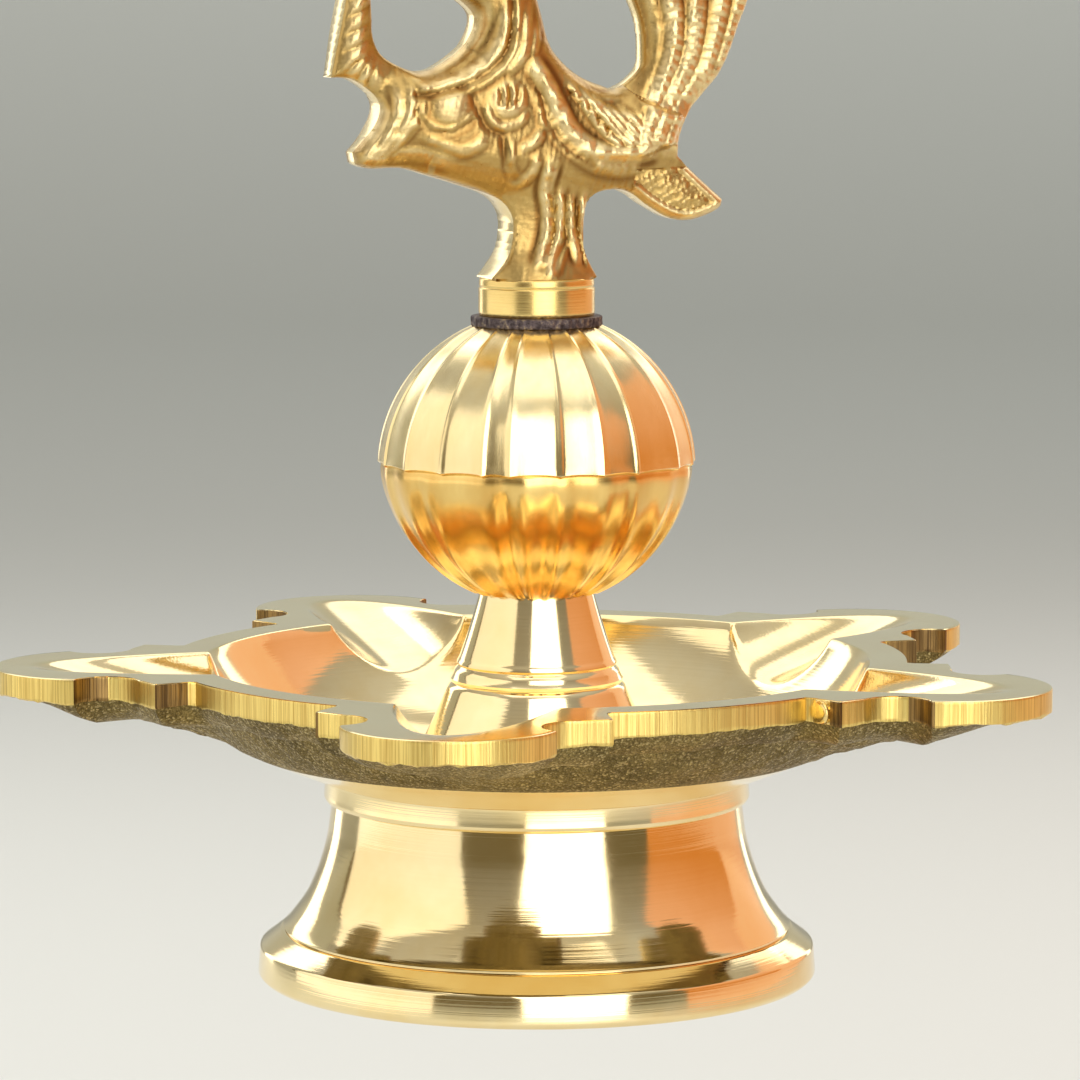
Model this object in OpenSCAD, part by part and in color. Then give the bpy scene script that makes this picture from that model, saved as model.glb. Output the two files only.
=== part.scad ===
// Hanging chain oil lamp in cast and turned brass: a lobed oil dish on a turned foot, a stem, a fluted ball
// and a cast bird, clamped by one tie rod and hung from a hook by a chain of oval links.
// All lengths are millimetres and all angles degrees. The origin is where the hook bears on its support.

/* [Whole lamp] */
// Height from the point where the hook bears down to the foot's underside
drop = 350; // [310:1:420]

/* [Foot] */
// Diameter of the foot across its rim
foot_d = 67.4; // [60:0.2:76]
// Height of the upright band at the rim
foot_band_h = 4; // [2.5:0.1:5]
// Diameter of the fine turned line above the rim
foot_line_d = 61.4; // [56:0.2:63]
// Height of the fine turned line
foot_line_h = 6; // [5:0.1:7]
// Diameter of the waist below the dish
foot_neck_d = 50.4; // [44:0.2:51.4]
// Height of the whole foot
foot_h = 20; // [17:0.1:23]
// Wall of the hollow foot
foot_wall = 3; // [2.2:0.1:3.6]
// Thickness of the web that the tie rod passes through
foot_web = 3.6; // [3:0.1:5]
// Bevel on the bottom edge of the rim
foot_bevel = 0.6; // [0.3:0.1:1]

/* [Dish] */
// Height from the dish's seat on the foot to the lapped rim
dish_h = 18.4; // [16:0.1:22]
// Diameter of the turned boss under the dish
dish_boss_d = 51.6; // [50.4:0.1:54]
// Height of the turned boss
dish_boss_h = 1.3; // [1:0.1:2]
// Wall of the cast bowl
dish_wall = 3; // [2.4:0.1:3.6]
// Diameter of the oil well at the rim
well_d = 80; // [76:0.5:83]
// Diameter of the flat floor of the oil well
well_floor_d = 36; // [34:0.5:42]
// Thickness of the floor above the foot
floor_t = 3.4; // [3:0.1:4.4]
// Diameter of the rim between the lobes
rim_d = 89; // [87:0.5:94]
// Thickness of the rim plate
rim_t = 2.8; // [2.2:0.1:3.6]
// Number of wick lobes
lobes = 5; // [5]
// Radius from the axis to a lobe's tip
lobe_reach = 65; // [63:0.5:67]
// Radius of a lobe's rounded tip
lobe_tip_r = 12.6; // [12:0.2:13.4]
// Width of a lobe at its waist
lobe_waist_w = 19.8; // [19:0.2:21]
// Distance from a lobe's tip back to its waist
lobe_waist_back = 12.8; // [12.2:0.1:13.4]
// Radius of the notch that makes the waist
waist_notch_r = 4; // [3.6:0.1:4.4]
// Width of a lobe across the corners of its shoulder
lobe_shoulder_w = 33.8; // [33:0.2:35]
// Distance from a lobe's tip back to these corners
lobe_shoulder_back = 18.5; // [18:0.1:19]
// Width of a lobe's root at the rim
lobe_root_w = 31; // [30:0.2:32]
// Radius of the round-bottomed wick channel
channel_r = 10.6; // [10:0.2:12]
// Slope of the wick channel towards the well
channel_slope = 15; // [12:0.5:16]
// Distance from a lobe's tip back to the channel's end
channel_back = 6.5; // [5:0.5:9]
// Turn of the lobes against the bird's plane
lobe_turn = 24.5; // [0:0.5:71]

/* [Stem] */
// Diameter at the foot of the stem, on the dish floor
stem_base_d = 33; // [30:0.2:33.4]
// Diameter at the top of the stem, under the ball
stem_top_d = 13.7; // [12.6:0.1:14.8]
// Height of the stem
stem_h = 23.1; // [19:0.1:28]
// Depth of the hollow curve down the stem's side
stem_hollow = 0.9; // [0.5:0.1:1.4]
// Height of the lower of the two fine turned lines above the floor
stem_line_h = 12.2; // [10:0.1:14]
// Distance between the two turned lines
stem_line_gap = 2; // [1.4:0.1:2.6]
// Depth of each fine turned line on stem and foot
line_depth = 0.3; // [0.2:0.05:0.4]

/* [Ball] */
// Diameter of the ball across its seam
ball_d = 37.9; // [34:0.1:42]
// Height of the lower half
ball_lower_h = 15.5; // [14.5:0.1:17]
// Height of the upper half
ball_upper_h = 16.5; // [14.5:0.1:18]
// Diameter of the flats at the two poles
ball_flat_d = 15.4; // [15:0.1:17.4]
// Wall of the hollow ball
ball_wall = 2.6; // [2:0.1:3.2]
// Number of flutes round each half
flutes = 18; // [14:1:22]
// Depth of a flute
flute_depth = 0.6; // [0.3:0.05:0.9]

/* [Bird] */
// Height of the bird from its collar's underside to the top boss
bird_h = 72; // [64:0.5:80]
// Thickness of the bird across its body
bird_depth = 13; // [11:0.2:14]
// Diameter of the turned collar under the feet
collar_d = 13.9; // [13:0.1:15]
// Height of the turned collar
collar_h = 4.5; // [3.5:0.1:5.5]
// Diameter of the boss on top that takes the hanging eye
boss_d = 9; // [8:0.1:10]
// Taper of that boss, on the radius
boss_taper = 1; // [0.4:0.1:1.4]
// Diameter of the washer between ball and bird
washer_d = 15.6; // [15:0.1:16.4]
// Thickness of that washer
washer_t = 1.2; // [0.8:0.1:1.8]

/* [Tie rod] */
// Diameter of the rod that clamps the lamp together
rod_d = 5; // [4:0.5:6]
// Length of rod screwed into the bird's collar
rod_grip = 7; // [5:0.5:9]
// Width of the nut across its flats
nut_af = 9; // [8.5:0.1:10]
// Height of the nut
nut_h = 4; // [3.2:0.1:5]
// Diameter of the washer under the nut
nut_washer_d = 16; // [13:0.5:20]
// Thickness of the washer under the nut
nut_washer_t = 1.2; // [0.8:0.1:2]
// Length of rod that stands past the nut
rod_past = 1; // [0.5:0.1:2]
// Clearance round the rod in each bore
rod_clear = 0.15; // [0.1:0.05:0.3]

/* [Chain] */
// Number of chain links
links = 10; // [10]
// Diameter of the link wire
link_wire_d = 2.2; // [1.8:0.1:2.4]
// Inner width of a link
link_in_w = 5; // [4.8:0.1:6]
// Straight stretch at each end of a link, where the next one bears
link_flat = 2; // [1:0.1:2.4]
// Diameter of the wire of the lamp's ring
ring_wire_d = 2.6; // [2.2:0.1:2.8]
// Inner diameter of the lamp's ring
ring_in_d = 11; // [10:0.1:13]
// Running gap between two linked wires
link_gap = 0.15; // [0.1:0.05:0.25]

/* [Hook and eye] */
// Diameter of the hook's wire
hook_wire_d = 3.2; // [2.8:0.1:3.4]
// Inner diameter of the hook's crook
hook_in_d = 22; // [18:0.5:26]
// Angle from level at which the crook turns back to the axis
hook_turn = 60; // [52:1:66]
// Diameter of the thicker shank under the crook
hook_shank_d = 4.2; // [4:0.1:4.8]
// Angle below level at which the crook's tip ends
hook_tip = 15; // [0:1:30]
// Diameter of the ball on the crook's tip
hook_ball_d = 4.6; // [4:0.1:5.4]
// Diameter of the collar above the hook's lower loop
hook_collar_d = 5.6; // [5:0.1:6.4]
// Height of that collar
hook_collar_h = 3; // [2:0.1:5]
// Inner width of the hook's lower loop
hook_loop_w = 6.2; // [5.6:0.1:8]
// Inner length of the hook's lower loop
hook_loop_l = 8; // [7:0.1:10]
// Diameter of the hanging eye's wire
eye_wire_d = 2.8; // [2.4:0.1:3]
// Inner width of the hanging eye
eye_in_w = 6; // [5.6:0.1:7]
// Inner length of the hanging eye
eye_in_l = 7; // [6.4:0.1:9]
// Diameter of the hanging eye's flange
eye_flange_d = 8; // [7:0.1:8.8]
// Height of the hanging eye's flange
eye_flange_h = 1.4; // [1:0.1:2]
// Diameter of the hanging eye's screwed stud
eye_stud_d = 4; // [3:0.1:4.4]
// Length of the hanging eye's screwed stud
eye_stud_l = 6; // [5:0.1:7]
// Clearance round the screwed stud
stud_clear = 0.1; // [0.05:0.05:0.2]

/* [Hidden] */
$fn = 64;
EPS = 0.01;
// Run of a cutter past the face that it opens
OVER = 1;
CAST = "#b88a3c";
POLISHED = "#d4a843";
WIRE = "#c39a45";
STEEL = "#8d8f92";
DARK = "#54494a";

// Hook: its crook, the reverse bend under it, and the loop at the bottom
hook_rc = (hook_in_d + hook_wire_d) / 2;
hook_bend_r = hook_rc * cos(hook_turn) / (1 - cos(hook_turn));
hook_crook_z = -hook_in_d / 2;
hook_bend_z = hook_crook_z - (hook_rc + hook_bend_r) * sin(hook_turn);
hook_lap = 6;
hook_loop_top = hook_bend_z - hook_collar_h - hook_wire_d / 4;
hook_loop_low = hook_loop_top - hook_loop_l - hook_wire_d;

// Lamp: the seats of its stacked pieces, from the foot's underside up to the hanging eye
foot_z = -drop;
dish_z = foot_z + foot_h;
floor_z = dish_z + floor_t;
rim_z = dish_z + dish_h;
stem_top_z = floor_z + stem_h;
seam_z = stem_top_z + ball_lower_h;
washer_z = seam_z + ball_upper_h;
bird_z = washer_z + washer_t;
eye_seat_z = bird_z + bird_h;
eye_top = eye_seat_z + eye_flange_h + eye_in_l + eye_wire_d;
web_z = dish_z - foot_web;
nut_z = web_z - nut_washer_t - nut_h;
rod_low = nut_z - rod_past;
rod_top = bird_z + rod_grip;

// Chain: it fills the height between the hook's loop and the hanging eye, which gives the length of a link
ring_low = eye_top - (ring_wire_d + eye_wire_d) / 2 - link_gap;
ring_top = ring_low + ring_in_d + ring_wire_d;
link_last_low = ring_top - (link_wire_d + ring_wire_d) / 2 - link_gap;
link_first_top = hook_loop_low + (hook_wire_d + link_wire_d) / 2 + link_gap;
link_in_l = (link_first_top - link_last_low - link_wire_d + (links - 1) * link_gap) / links;
link_pitch = link_in_l - link_gap;
function link_low(i) = link_last_low + (links - 1 - i) * link_pitch;

// Bowl: one arc from the flat floor up to the rim, and the same centre for its outside
well_rise = rim_z - floor_z;
well_run = (well_d - well_floor_d) / 2;
well_arc = (well_run * well_run + well_rise * well_rise) / (2 * well_rise);

// Bent wire

// A quarter bend of round wire in the XZ plane, from direction a0 to a0 + 90
module bend(centre_r, wire_d, a0, sweep = 90) {
    rotate([90, 0, 0])
        rotate([0, 0, a0])
            rotate_extrude(angle = sweep)
                translate([centre_r, 0])
                    circle(d = wire_d);
}

// A straight length of round wire between two points of the XZ plane
module bar(from, to, wire_d) {
    run = to - from;
    translate([from[0], 0, from[1]])
        rotate([0, atan2(run[0], run[1]), 0])
            cylinder(d = wire_d, h = norm(run));
}

// A closed oval of wire in the XZ plane, hung from the middle of its upper bow
module oval(wire_d, in_w, in_l, flat) {
    half_w = (in_w + wire_d) / 2;
    corner = half_w - flat / 2;
    low = -in_l - wire_d;
    for (side = [-1, 1])
        bar([side * half_w, -corner], [side * half_w, low + corner], wire_d);
    for (z = [0, low])
        bar([-flat / 2, z], [flat / 2, z], wire_d);
    for (turn = [0, 1])
        translate([(turn == 0 ? 1 : -1) * flat / 2, 0, -corner])
            bend(corner, wire_d, turn * 90);
    for (turn = [2, 3])
        translate([(turn == 3 ? 1 : -1) * flat / 2, 0, low + corner])
            bend(corner, wire_d, turn * 90);
}

module top_hook() {
    color(WIRE) {
        translate([0, 0, hook_crook_z])
            bend(hook_rc, hook_wire_d, -hook_turn - hook_lap, 180 + hook_turn + hook_lap + hook_tip);
        translate([0, 0, hook_crook_z])
            rotate([0, -hook_tip, 0])
                translate([-hook_rc, 0, 0])
                    sphere(d = hook_ball_d);
        translate([hook_bend_r, 0, hook_bend_z])
            bend(hook_bend_r, hook_shank_d, 180 - hook_turn, hook_turn);
        translate([0, 0, hook_bend_z - hook_collar_h])
            cylinder(d = hook_collar_d, h = hook_collar_h);
        translate([0, 0, hook_loop_top])
            oval(hook_wire_d, hook_loop_w, hook_loop_l, link_flat);
    }
}

// Link i of the chain: even ones stand across the hook's plane and odd ones in it
module chain_link(i) {
    color(WIRE)
        translate([0, 0, link_low(i) + link_in_l + link_wire_d])
            rotate([0, 0, i % 2 == 0 ? 90 : 0])
                oval(link_wire_d, link_in_w, link_in_l, link_flat);
}

module suspension_ring() {
    color(WIRE)
        translate([0, 0, (ring_top + ring_low) / 2])
            rotate([0, 90, 0])
                rotate_extrude()
                    translate([(ring_in_d + ring_wire_d) / 2, 0])
                        circle(d = ring_wire_d);
}

module hanging_eye() {
    color(POLISHED) {
        translate([0, 0, eye_top])
            oval(eye_wire_d, eye_in_w, eye_in_l, link_flat);
        translate([0, 0, eye_seat_z])
            cylinder(d = eye_flange_d, h = eye_flange_h);
        translate([0, 0, eye_seat_z - eye_stud_l])
            cylinder(d = eye_stud_d, h = eye_stud_l + EPS);
    }
}

// Bird

// The bird is cast in a two-part mould: a flat figure with relief on both faces.
// It is drawn on a grid of figure units: its height has 72 of them and its body is 13 thick.
FIGURE_H = 72;
FIGURE_DEPTH = 13;
grid = bird_h / FIGURE_H;
grid_y = bird_depth / FIGURE_DEPTH;
// Half thickness of the flat figure at its edge
edge_half = 2.2;

// The outline and its two gaps run smoothly through these points [x, height]. A point given twice is a corner.
BREAST = [[-6.6, 4.3], [-6.6, 4.3], [-4.4, 8], [-4.1, 12.2], [-6.6, 14.5], [-13.8, 16.9], [-18.6, 17.9],
          [-22.8, 18.3], [-22.8, 18.3], [-23.1, 19.7], [-23.1, 19.7], [-20.9, 22.3], [-19.9, 24.6],
          [-21.6, 27.2]];
GARLAND = [[-25.8, 28.5], [-25.8, 28.5], [-24.1, 37.6], [-23.4, 43.4], [-21.4, 46.4]];
CROWN = [[-17.2, 49.4], [-14, 53.2], [-10.2, 55.8], [-9.2, 61.4], [-6.2, 67], [-4.2, 69.4], [-4.2, 72],
         [-4.2, 72], [4.2, 72], [4.2, 72], [5.2, 70.6]];
TAIL = [[10.4, 68.6], [16, 65], [21, 59.8], [24.8, 53.4], [26.6, 46.4], [26.6, 41], [24.8, 34.3], [22.3, 28.4],
        [18.1, 23.5], [16.9, 19], [16.9, 19]];
UNDERTAIL = [[21.6, 14.7], [22.9, 13.6], [22.9, 13.6], [22.3, 12.4], [19.1, 11.2], [15.6, 11.8], [11.3, 14.4],
             [6.6, 14.6], [4.9, 12], [5.1, 7.4], [6.6, 4.3], [6.6, 4.3]];
LEFT_GAP = [[-20.7, 34.4], [-19.5, 31], [-15.4, 29.2], [-11.9, 30.2], [-9.2, 32.4], [-8.1, 35.4], [-9.9, 37.5],
            [-15.4, 41.4], [-18.2, 42.6], [-20.2, 41.4]];
RIGHT_GAP = [[12.8, 31.5], [12.4, 29.2], [9.6, 27], [4.8, 28.5], [1, 32.3], [-0.5, 37.5], [-2.8, 45.5],
             [-3.2, 52.5], [0.2, 59], [5.8, 55.4], [8.6, 46], [11.5, 37.5]];

// A limb swells out of the figure. A station of it is [x, height, half width, half thickness].
BODY = [[-23.5, 18.6, 2.4, 2.6], [-20, 20.8, 4.4, 3.6], [-15.5, 23.2, 7, 5], [-10, 23.4, 8.6, 6.1],
        [-3, 23, 9.4, 6.5], [4, 21.4, 8.2, 6.2], [10, 20.6, 6.6, 5], [16, 21.2, 4.6, 3.4]];
NECK = [[-4, 24, 8, 6], [-4, 30.5, 6, 5.4], [-4.4, 35.2, 5, 4.8], [-5.8, 39.5, 5.2, 4.8], [-8.2, 44, 6, 5],
        [-9.6, 48, 6.6, 5.2]];
HEAD = [[-6, 48.5, 5.4, 4.2], [-9.8, 48.6, 6.6, 5.4], [-13.6, 47.6, 5.2, 4.8], [-17.2, 45.8, 3.4, 3.8],
        [-20.6, 43.8, 2.2, 3.2]];
LEGS = [[0, 3.6, 7.4, 6.3], [0.1, 5.4, 7, 5.8], [0.4, 8.4, 6.4, 4.4], [0.5, 12.6, 6.8, 4.4],
        [0.4, 17, 8.4, 5.4]];
CREST = [[-9.6, 54, 3.4, 3.8], [-7.6, 59.4, 4, 3.6], [-4.4, 64.2, 4.6, 3.8], [0, 68.6, 5.4, 4.2]];
WING = [[-2.6, 31, 1.6, 1.2], [1, 28, 3.6, 2.1], [5.4, 24.4, 4.2, 2.2], [10.4, 22.4, 3.4, 2],
        [16, 22.6, 1.2, 1.2]];
// The inner and outer edges that the ribs of the tail run between
TAIL_INNER = [[8.6, 20.4], [11.4, 25.4], [13.4, 31], [12.6, 36.7], [10.2, 42.4], [8.4, 49], [6.2, 56],
              [3.2, 61.6]];
TAIL_OUTER = [[16, 18.2], [18.4, 23.2], [22.5, 28.4], [25.4, 36], [26.6, 42.6], [25.8, 51], [20.4, 60.6],
              [9.6, 68.6]];
tail_ribs = 4;
// Share of the tail's width at its plain inner border
tail_border = 0.18;
rib_half_w = 1;
rib_proud = 0.8;
leg_folds = 3;
fold_half_w = 0.8;
fold_proud = 0.5;
// How far the wing's base lies from the middle plane
wing_base = 4;
// Long feathers of the wing: where the first starts and ends [x, height], the steps to the next, and sizes
feathers = 4;
feather_start = [2, 26];
feather_start_step = [2.2, -1.7];
feather_end = [8.5, 19.2];
feather_end_step = [2.1, 0.5];
feather_rise = [0.9, 0.3];
feather_d = [2.4, 2];
limb_steps = 2;
outline_steps = 3;
limb_sides = 12;
rib_sides = 6;

// A point of a smooth curve through four values, t of the way from the second to the third
function curve(a, b, c, d, t) =
    (2 * b + (c - a) * t + (2 * a - 5 * b + 4 * c - d) * t * t + (3 * b - a - 3 * c + d) * t * t * t) / 2;

// All stations of a limb, with steps more between each given pair
function stations(list, steps) = let (last = len(list) - 1) [
    for (i = [0 : last - 1])
        for (j = [0 : steps - 1])
            curve(list[max(i - 1, 0)], list[i], list[i + 1], list[min(i + 2, last)], j / steps),
    list[last]
];

// A closed outline through a list of points, with steps to each stretch
function smooth_loop(list, steps) = let (n = len(list)) [
    for (i = [0 : n - 1])
        if (list[i] != list[(i + 1) % n])
            for (j = [0 : steps - 1])
                curve(list[(i + n - 1) % n], list[i], list[(i + 1) % n], list[(i + 2) % n], j / steps)
];

// The heading of a limb at station i
function heading(list, i) = let (
    run = list[min(i + 1, len(list) - 1)] - list[max(i - 1, 0)]
) atan2(run[1], run[0]);

// One ring of points round a limb, which is an ellipse across its heading
function ring_at(s, turn, sides) = [
    for (k = [0 : sides - 1]) let (
        across = s[2] * cos(360 * k / sides)
    ) [s[0] - across * sin(turn), s[3] * sin(360 * k / sides), s[1] + across * cos(turn)]
];

// A closed limb lofted through rings of points
module loft(rings) {
    sides = len(rings[0]);
    last = len(rings) - 1;
    points = [for (r = rings) each r];
    skin = [
        for (i = [0 : last - 1])
            for (k = [0 : sides - 1]) let (
                a = i * sides + k,
                b = i * sides + (k + 1) % sides
            ) each [[a, b, a + sides], [b, b + sides, a + sides]]
    ];
    start = [for (k = [sides - 1 : -1 : 0]) k];
    end = [for (k = [0 : sides - 1]) last * sides + k];
    polyhedron(points, concat([start], skin, [end]), convexity = 6);
}

module limb(list, sides = limb_sides) {
    run = stations(list, limb_steps);
    loft([for (i = [0 : len(run) - 1]) ring_at(run[i], heading(run, i), sides)]);
}

// A fold along a limb, at a share of its half width from the middle
function fold_stations(list, share) = [
    for (i = [0 : len(list) - 1]) let (turn = heading(list, i), off = share * list[i][2]) [
        list[i][0] - off * sin(turn),
        list[i][1] + off * cos(turn),
        fold_half_w,
        list[i][3] * sqrt(1 - share * share) + fold_proud
    ]
];

// A rib of the tail, at a share of the way from its inner to its outer edge
function rib_stations(share) = [
    for (i = [0 : len(TAIL_INNER) - 1]) let (at = TAIL_INNER[i] + (TAIL_OUTER[i] - TAIL_INNER[i]) * share)
        [at[0], at[1], rib_half_w, edge_half + rib_proud]
];

// The wing on one face, with its row of long feathers
module wing() {
    translate([0, wing_base, 0]) {
        limb(WING);
        for (i = [0 : feathers - 1]) {
            from = feather_start + i * feather_start_step;
            to = feather_end + i * feather_end_step;
            hull() {
                translate([from[0], feather_rise[0], from[1]])
                    sphere(d = feather_d[0], $fn = 8);
                translate([to[0], feather_rise[1], to[1]])
                    sphere(d = feather_d[1], $fn = 8);
            }
        }
    }
}

// The outline as an upright plate, thick enough for all of the relief
module figure_plate() {
    rotate([90, 0, 0])
        linear_extrude(2 * FIGURE_DEPTH, center = true)
            difference() {
                polygon(smooth_loop(concat(BREAST, GARLAND, CROWN, TAIL, UNDERTAIL), outline_steps));
                polygon(smooth_loop(LEFT_GAP, outline_steps));
                polygon(smooth_loop(RIGHT_GAP, outline_steps));
            }
}

// The relief of both faces on a flat slab, cut to the outline
module bird_figure() {
    intersection() {
        figure_plate();
        union() {
            translate([-FIGURE_H / 2, -edge_half, 0])
                cube([FIGURE_H, 2 * edge_half, FIGURE_H]);
            limb(BODY);
            limb(NECK);
            limb(HEAD);
            limb(LEGS);
            limb(CREST);
            for (i = [0 : tail_ribs - 1])
                limb(rib_stations(tail_border + (1 - tail_border) * (i + 0.5) / tail_ribs), rib_sides);
            for (i = [0 : leg_folds - 1])
                limb(fold_stations(LEGS, (2 * i + 1) / leg_folds - 1), rib_sides);
            for (face = [0, 1])
                mirror([0, face, 0])
                    wing();
        }
    }
}

module bird() {
    color(CAST)
        translate([0, 0, bird_z])
            difference() {
                union() {
                    scale([grid, grid_y, grid])
                        bird_figure();
                    cylinder(d = collar_d, h = collar_h, $fn = 40);
                    translate([0, 0, bird_h - eye_stud_l])
                        cylinder(d1 = boss_d - 2 * boss_taper, d2 = boss_d, h = eye_stud_l, $fn = 32);
                }
                translate([0, 0, -EPS])
                    cylinder(d = rod_d + 2 * rod_clear, h = rod_grip + rod_clear, $fn = 24);
                translate([0, 0, bird_h - eye_stud_l - stud_clear])
                    cylinder(d = eye_stud_d + 2 * stud_clear, h = eye_stud_l + stud_clear + OVER, $fn = 24);
            }
}

// Ball

// A plain turned disc with a bore for the tie rod
module bored_disc(d, h) {
    difference() {
        cylinder(d = d, h = h);
        translate([0, 0, -EPS])
            cylinder(d = rod_d + 2 * rod_clear, h = h + 2 * EPS);
    }
}

module neck_washer() {
    color(DARK)
        translate([0, 0, washer_z])
            bored_disc(washer_d, washer_t);
}

// Depths of the flutes, as shares of the full depth: at the seam and at the flat of each half
UPPER_FLUTES = [1, 0.6];
LOWER_FLUTES = [0.3, 1];
// How far a full flute laps over its neighbours, which leaves a sharp ridge between them
flute_lap = 1.04;
flute_half_w = flute_lap * ball_d / 2 * sin(180 / flutes);
flute_r = (flute_half_w * flute_half_w + flute_depth * flute_depth) / (2 * flute_depth);
// Sweep of the flutes' round cutter, from below the seam to above the flat
flute_start = -15;
flute_sweep = 100;

// The sphere that a half of the ball is turned to, from seam to flat: [height of its centre, radius]
function half_sphere(h) = let (
    seam_r = ball_d / 2,
    flat_r = ball_flat_d / 2,
    centre = (flat_r * flat_r + h * h - seam_r * seam_r) / (2 * h)
) [centre, norm([seam_r, centre])];

// Section of a half of the ball, standing on its seam, with its round face moved in by inset
module half_section(h, inset) {
    sphere_of = half_sphere(h);
    intersection() {
        translate([0, sphere_of[0]])
            circle(r = sphere_of[1] - inset);
        translate([0, -inset])
            square([ball_d, h]);
    }
}

// A half of the ball as a fluted shell, with the bore that the tie rod passes through
module ball_half(h, shares) {
    sphere_of = half_sphere(h);
    seam_depth = flute_depth * shares[0];
    flat_depth = flute_depth * shares[1];
    lift = (seam_depth - flat_depth) * sphere_of[1] / (h - sphere_of[0]);
    difference() {
        rotate_extrude()
            half_section(h, 0);
        rotate_extrude()
            half_section(h, ball_wall);
        for (k = [0 : flutes - 1])
            rotate([0, 0, k * 360 / flutes])
                translate([0, 0, sphere_of[0] + lift])
                    bend(sphere_of[1] - seam_depth + flute_r, 2 * flute_r, flute_start, flute_sweep);
        translate([0, 0, -OVER])
            cylinder(d = rod_d + 2 * rod_clear, h = h + 2 * OVER);
    }
}

module ball_upper() {
    color(POLISHED)
        translate([0, 0, seam_z])
            ball_half(ball_upper_h, UPPER_FLUTES);
}

module ball_lower() {
    color(POLISHED)
        translate([0, 0, seam_z])
            rotate([180, 0, 90 / flutes])
                ball_half(ball_lower_h, LOWER_FLUTES);
}

// Stem

// The circle that hollows the stem's side, from its base and top radii and the depth of the hollow
stem_run = (stem_base_d - stem_top_d) / 2;
stem_chord = norm([stem_run, stem_h]);
stem_arc = (stem_chord * stem_chord / 4 + stem_hollow * stem_hollow) / (2 * stem_hollow);
stem_arc_off = stem_arc - stem_hollow;
stem_arc_x = (stem_base_d + stem_top_d) / 4 + stem_arc_off * stem_h / stem_chord;
stem_arc_z = stem_h / 2 + stem_arc_off * stem_run / stem_chord;

// Radius of the stem at a height above the dish floor
function stem_r(z) = stem_arc_x - sqrt(stem_arc * stem_arc - pow(stem_arc_z - z, 2));

// A fine groove turned round the axis
module turned_line(r, z) {
    translate([0, 0, z])
        rotate_extrude()
            translate([r, 0])
                circle(r = line_depth);
}

module stem() {
    color(POLISHED)
        translate([0, 0, floor_z])
            difference() {
                rotate_extrude()
                    difference() {
                        polygon([[0, 0], [stem_base_d / 2, 0], [stem_base_d / 2, stem_h / 2],
                                 [stem_top_d / 2, stem_h], [0, stem_h]]);
                        translate([stem_arc_x, stem_arc_z])
                            circle(r = stem_arc);
                    }
                for (i = [0, 1])
                    turned_line(stem_r(stem_line_h + i * stem_line_gap), stem_line_h + i * stem_line_gap);
                translate([0, 0, -EPS])
                    cylinder(d = rod_d + 2 * rod_clear, h = stem_h + 2 * EPS);
            }
}

// Dish

// Turn of each lobe from even spacing: the dish was moulded by hand
LOBE_SKEW = [-4, 2.5, 0, 1.5, 3.5];
function lobe_angle(i) = lobe_turn + i * 360 / lobes + LOBE_SKEW[i];
waist_u = lobe_reach - lobe_waist_back;
waist_v = lobe_waist_w / 2 + waist_notch_r;
shoulder_u = lobe_reach - lobe_shoulder_back;
// Depth of a lobe's root inside the rim's circle, and of the part of it that laps into the rim
root_in = 1.9;
root_lap = 4.5;
root_u = rim_d / 2 - root_in;
lap_u = rim_d / 2 - root_lap;
// Inner end of the flank between waist and shoulder: back from the waist's middle and out from its side
flank_back = 3;
flank_out = 1.6;
flank_u = waist_u - flank_back;
flank_v = lobe_waist_w / 2 + flank_out;
// Run of a channel past the well's floor, and of the bulge under it within the well and short of the tip
channel_lap = 8;
bulge_lap = 6;
bulge_back = 4;
bulge_from = well_d / 2 - bulge_lap;
bulge_to = lobe_reach - bulge_back;

// One lobe in plan, pointing along +X
module lobe_plan() {
    difference() {
        union() {
            translate([lobe_reach - lobe_tip_r, 0])
                circle(r = lobe_tip_r);
            for (side = [0, 1])
                mirror([0, side])
                    polygon([[lap_u, -EPS], [lap_u, lobe_root_w / 2], [root_u, lobe_root_w / 2],
                             [shoulder_u, lobe_shoulder_w / 2], [flank_u, flank_v], [flank_u, -EPS]]);
        }
        for (side = [-1, 1])
            translate([waist_u, side * waist_v])
                circle(r = waist_notch_r);
    }
}

module dish_plan() {
    circle(d = rim_d);
    for (i = [0 : lobes - 1])
        rotate(lobe_angle(i))
            lobe_plan();
}

// Section of the bowl down to its flat floor, grown outwards by a wall
module bowl_section(grow, top) {
    centre_z = floor_z + well_arc;
    low = floor_z - grow;
    intersection() {
        union() {
            translate([well_floor_d / 2, centre_z])
                circle(r = well_arc + grow);
            translate([0, low])
                square([well_floor_d / 2, top - low]);
        }
        translate([0, low])
            square([well_d, top - low]);
    }
}

// A round bar along a wick channel, between two distances from the axis
module channel_bar(i, r, from, to) {
    end_u = lobe_reach - channel_back;
    rotate([0, 0, lobe_angle(i)])
        translate([end_u, 0, rim_z + channel_r])
            rotate([0, 90 - channel_slope, 0])
                translate([0, 0, from - end_u])
                    cylinder(r = r, h = to - from);
}

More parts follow.
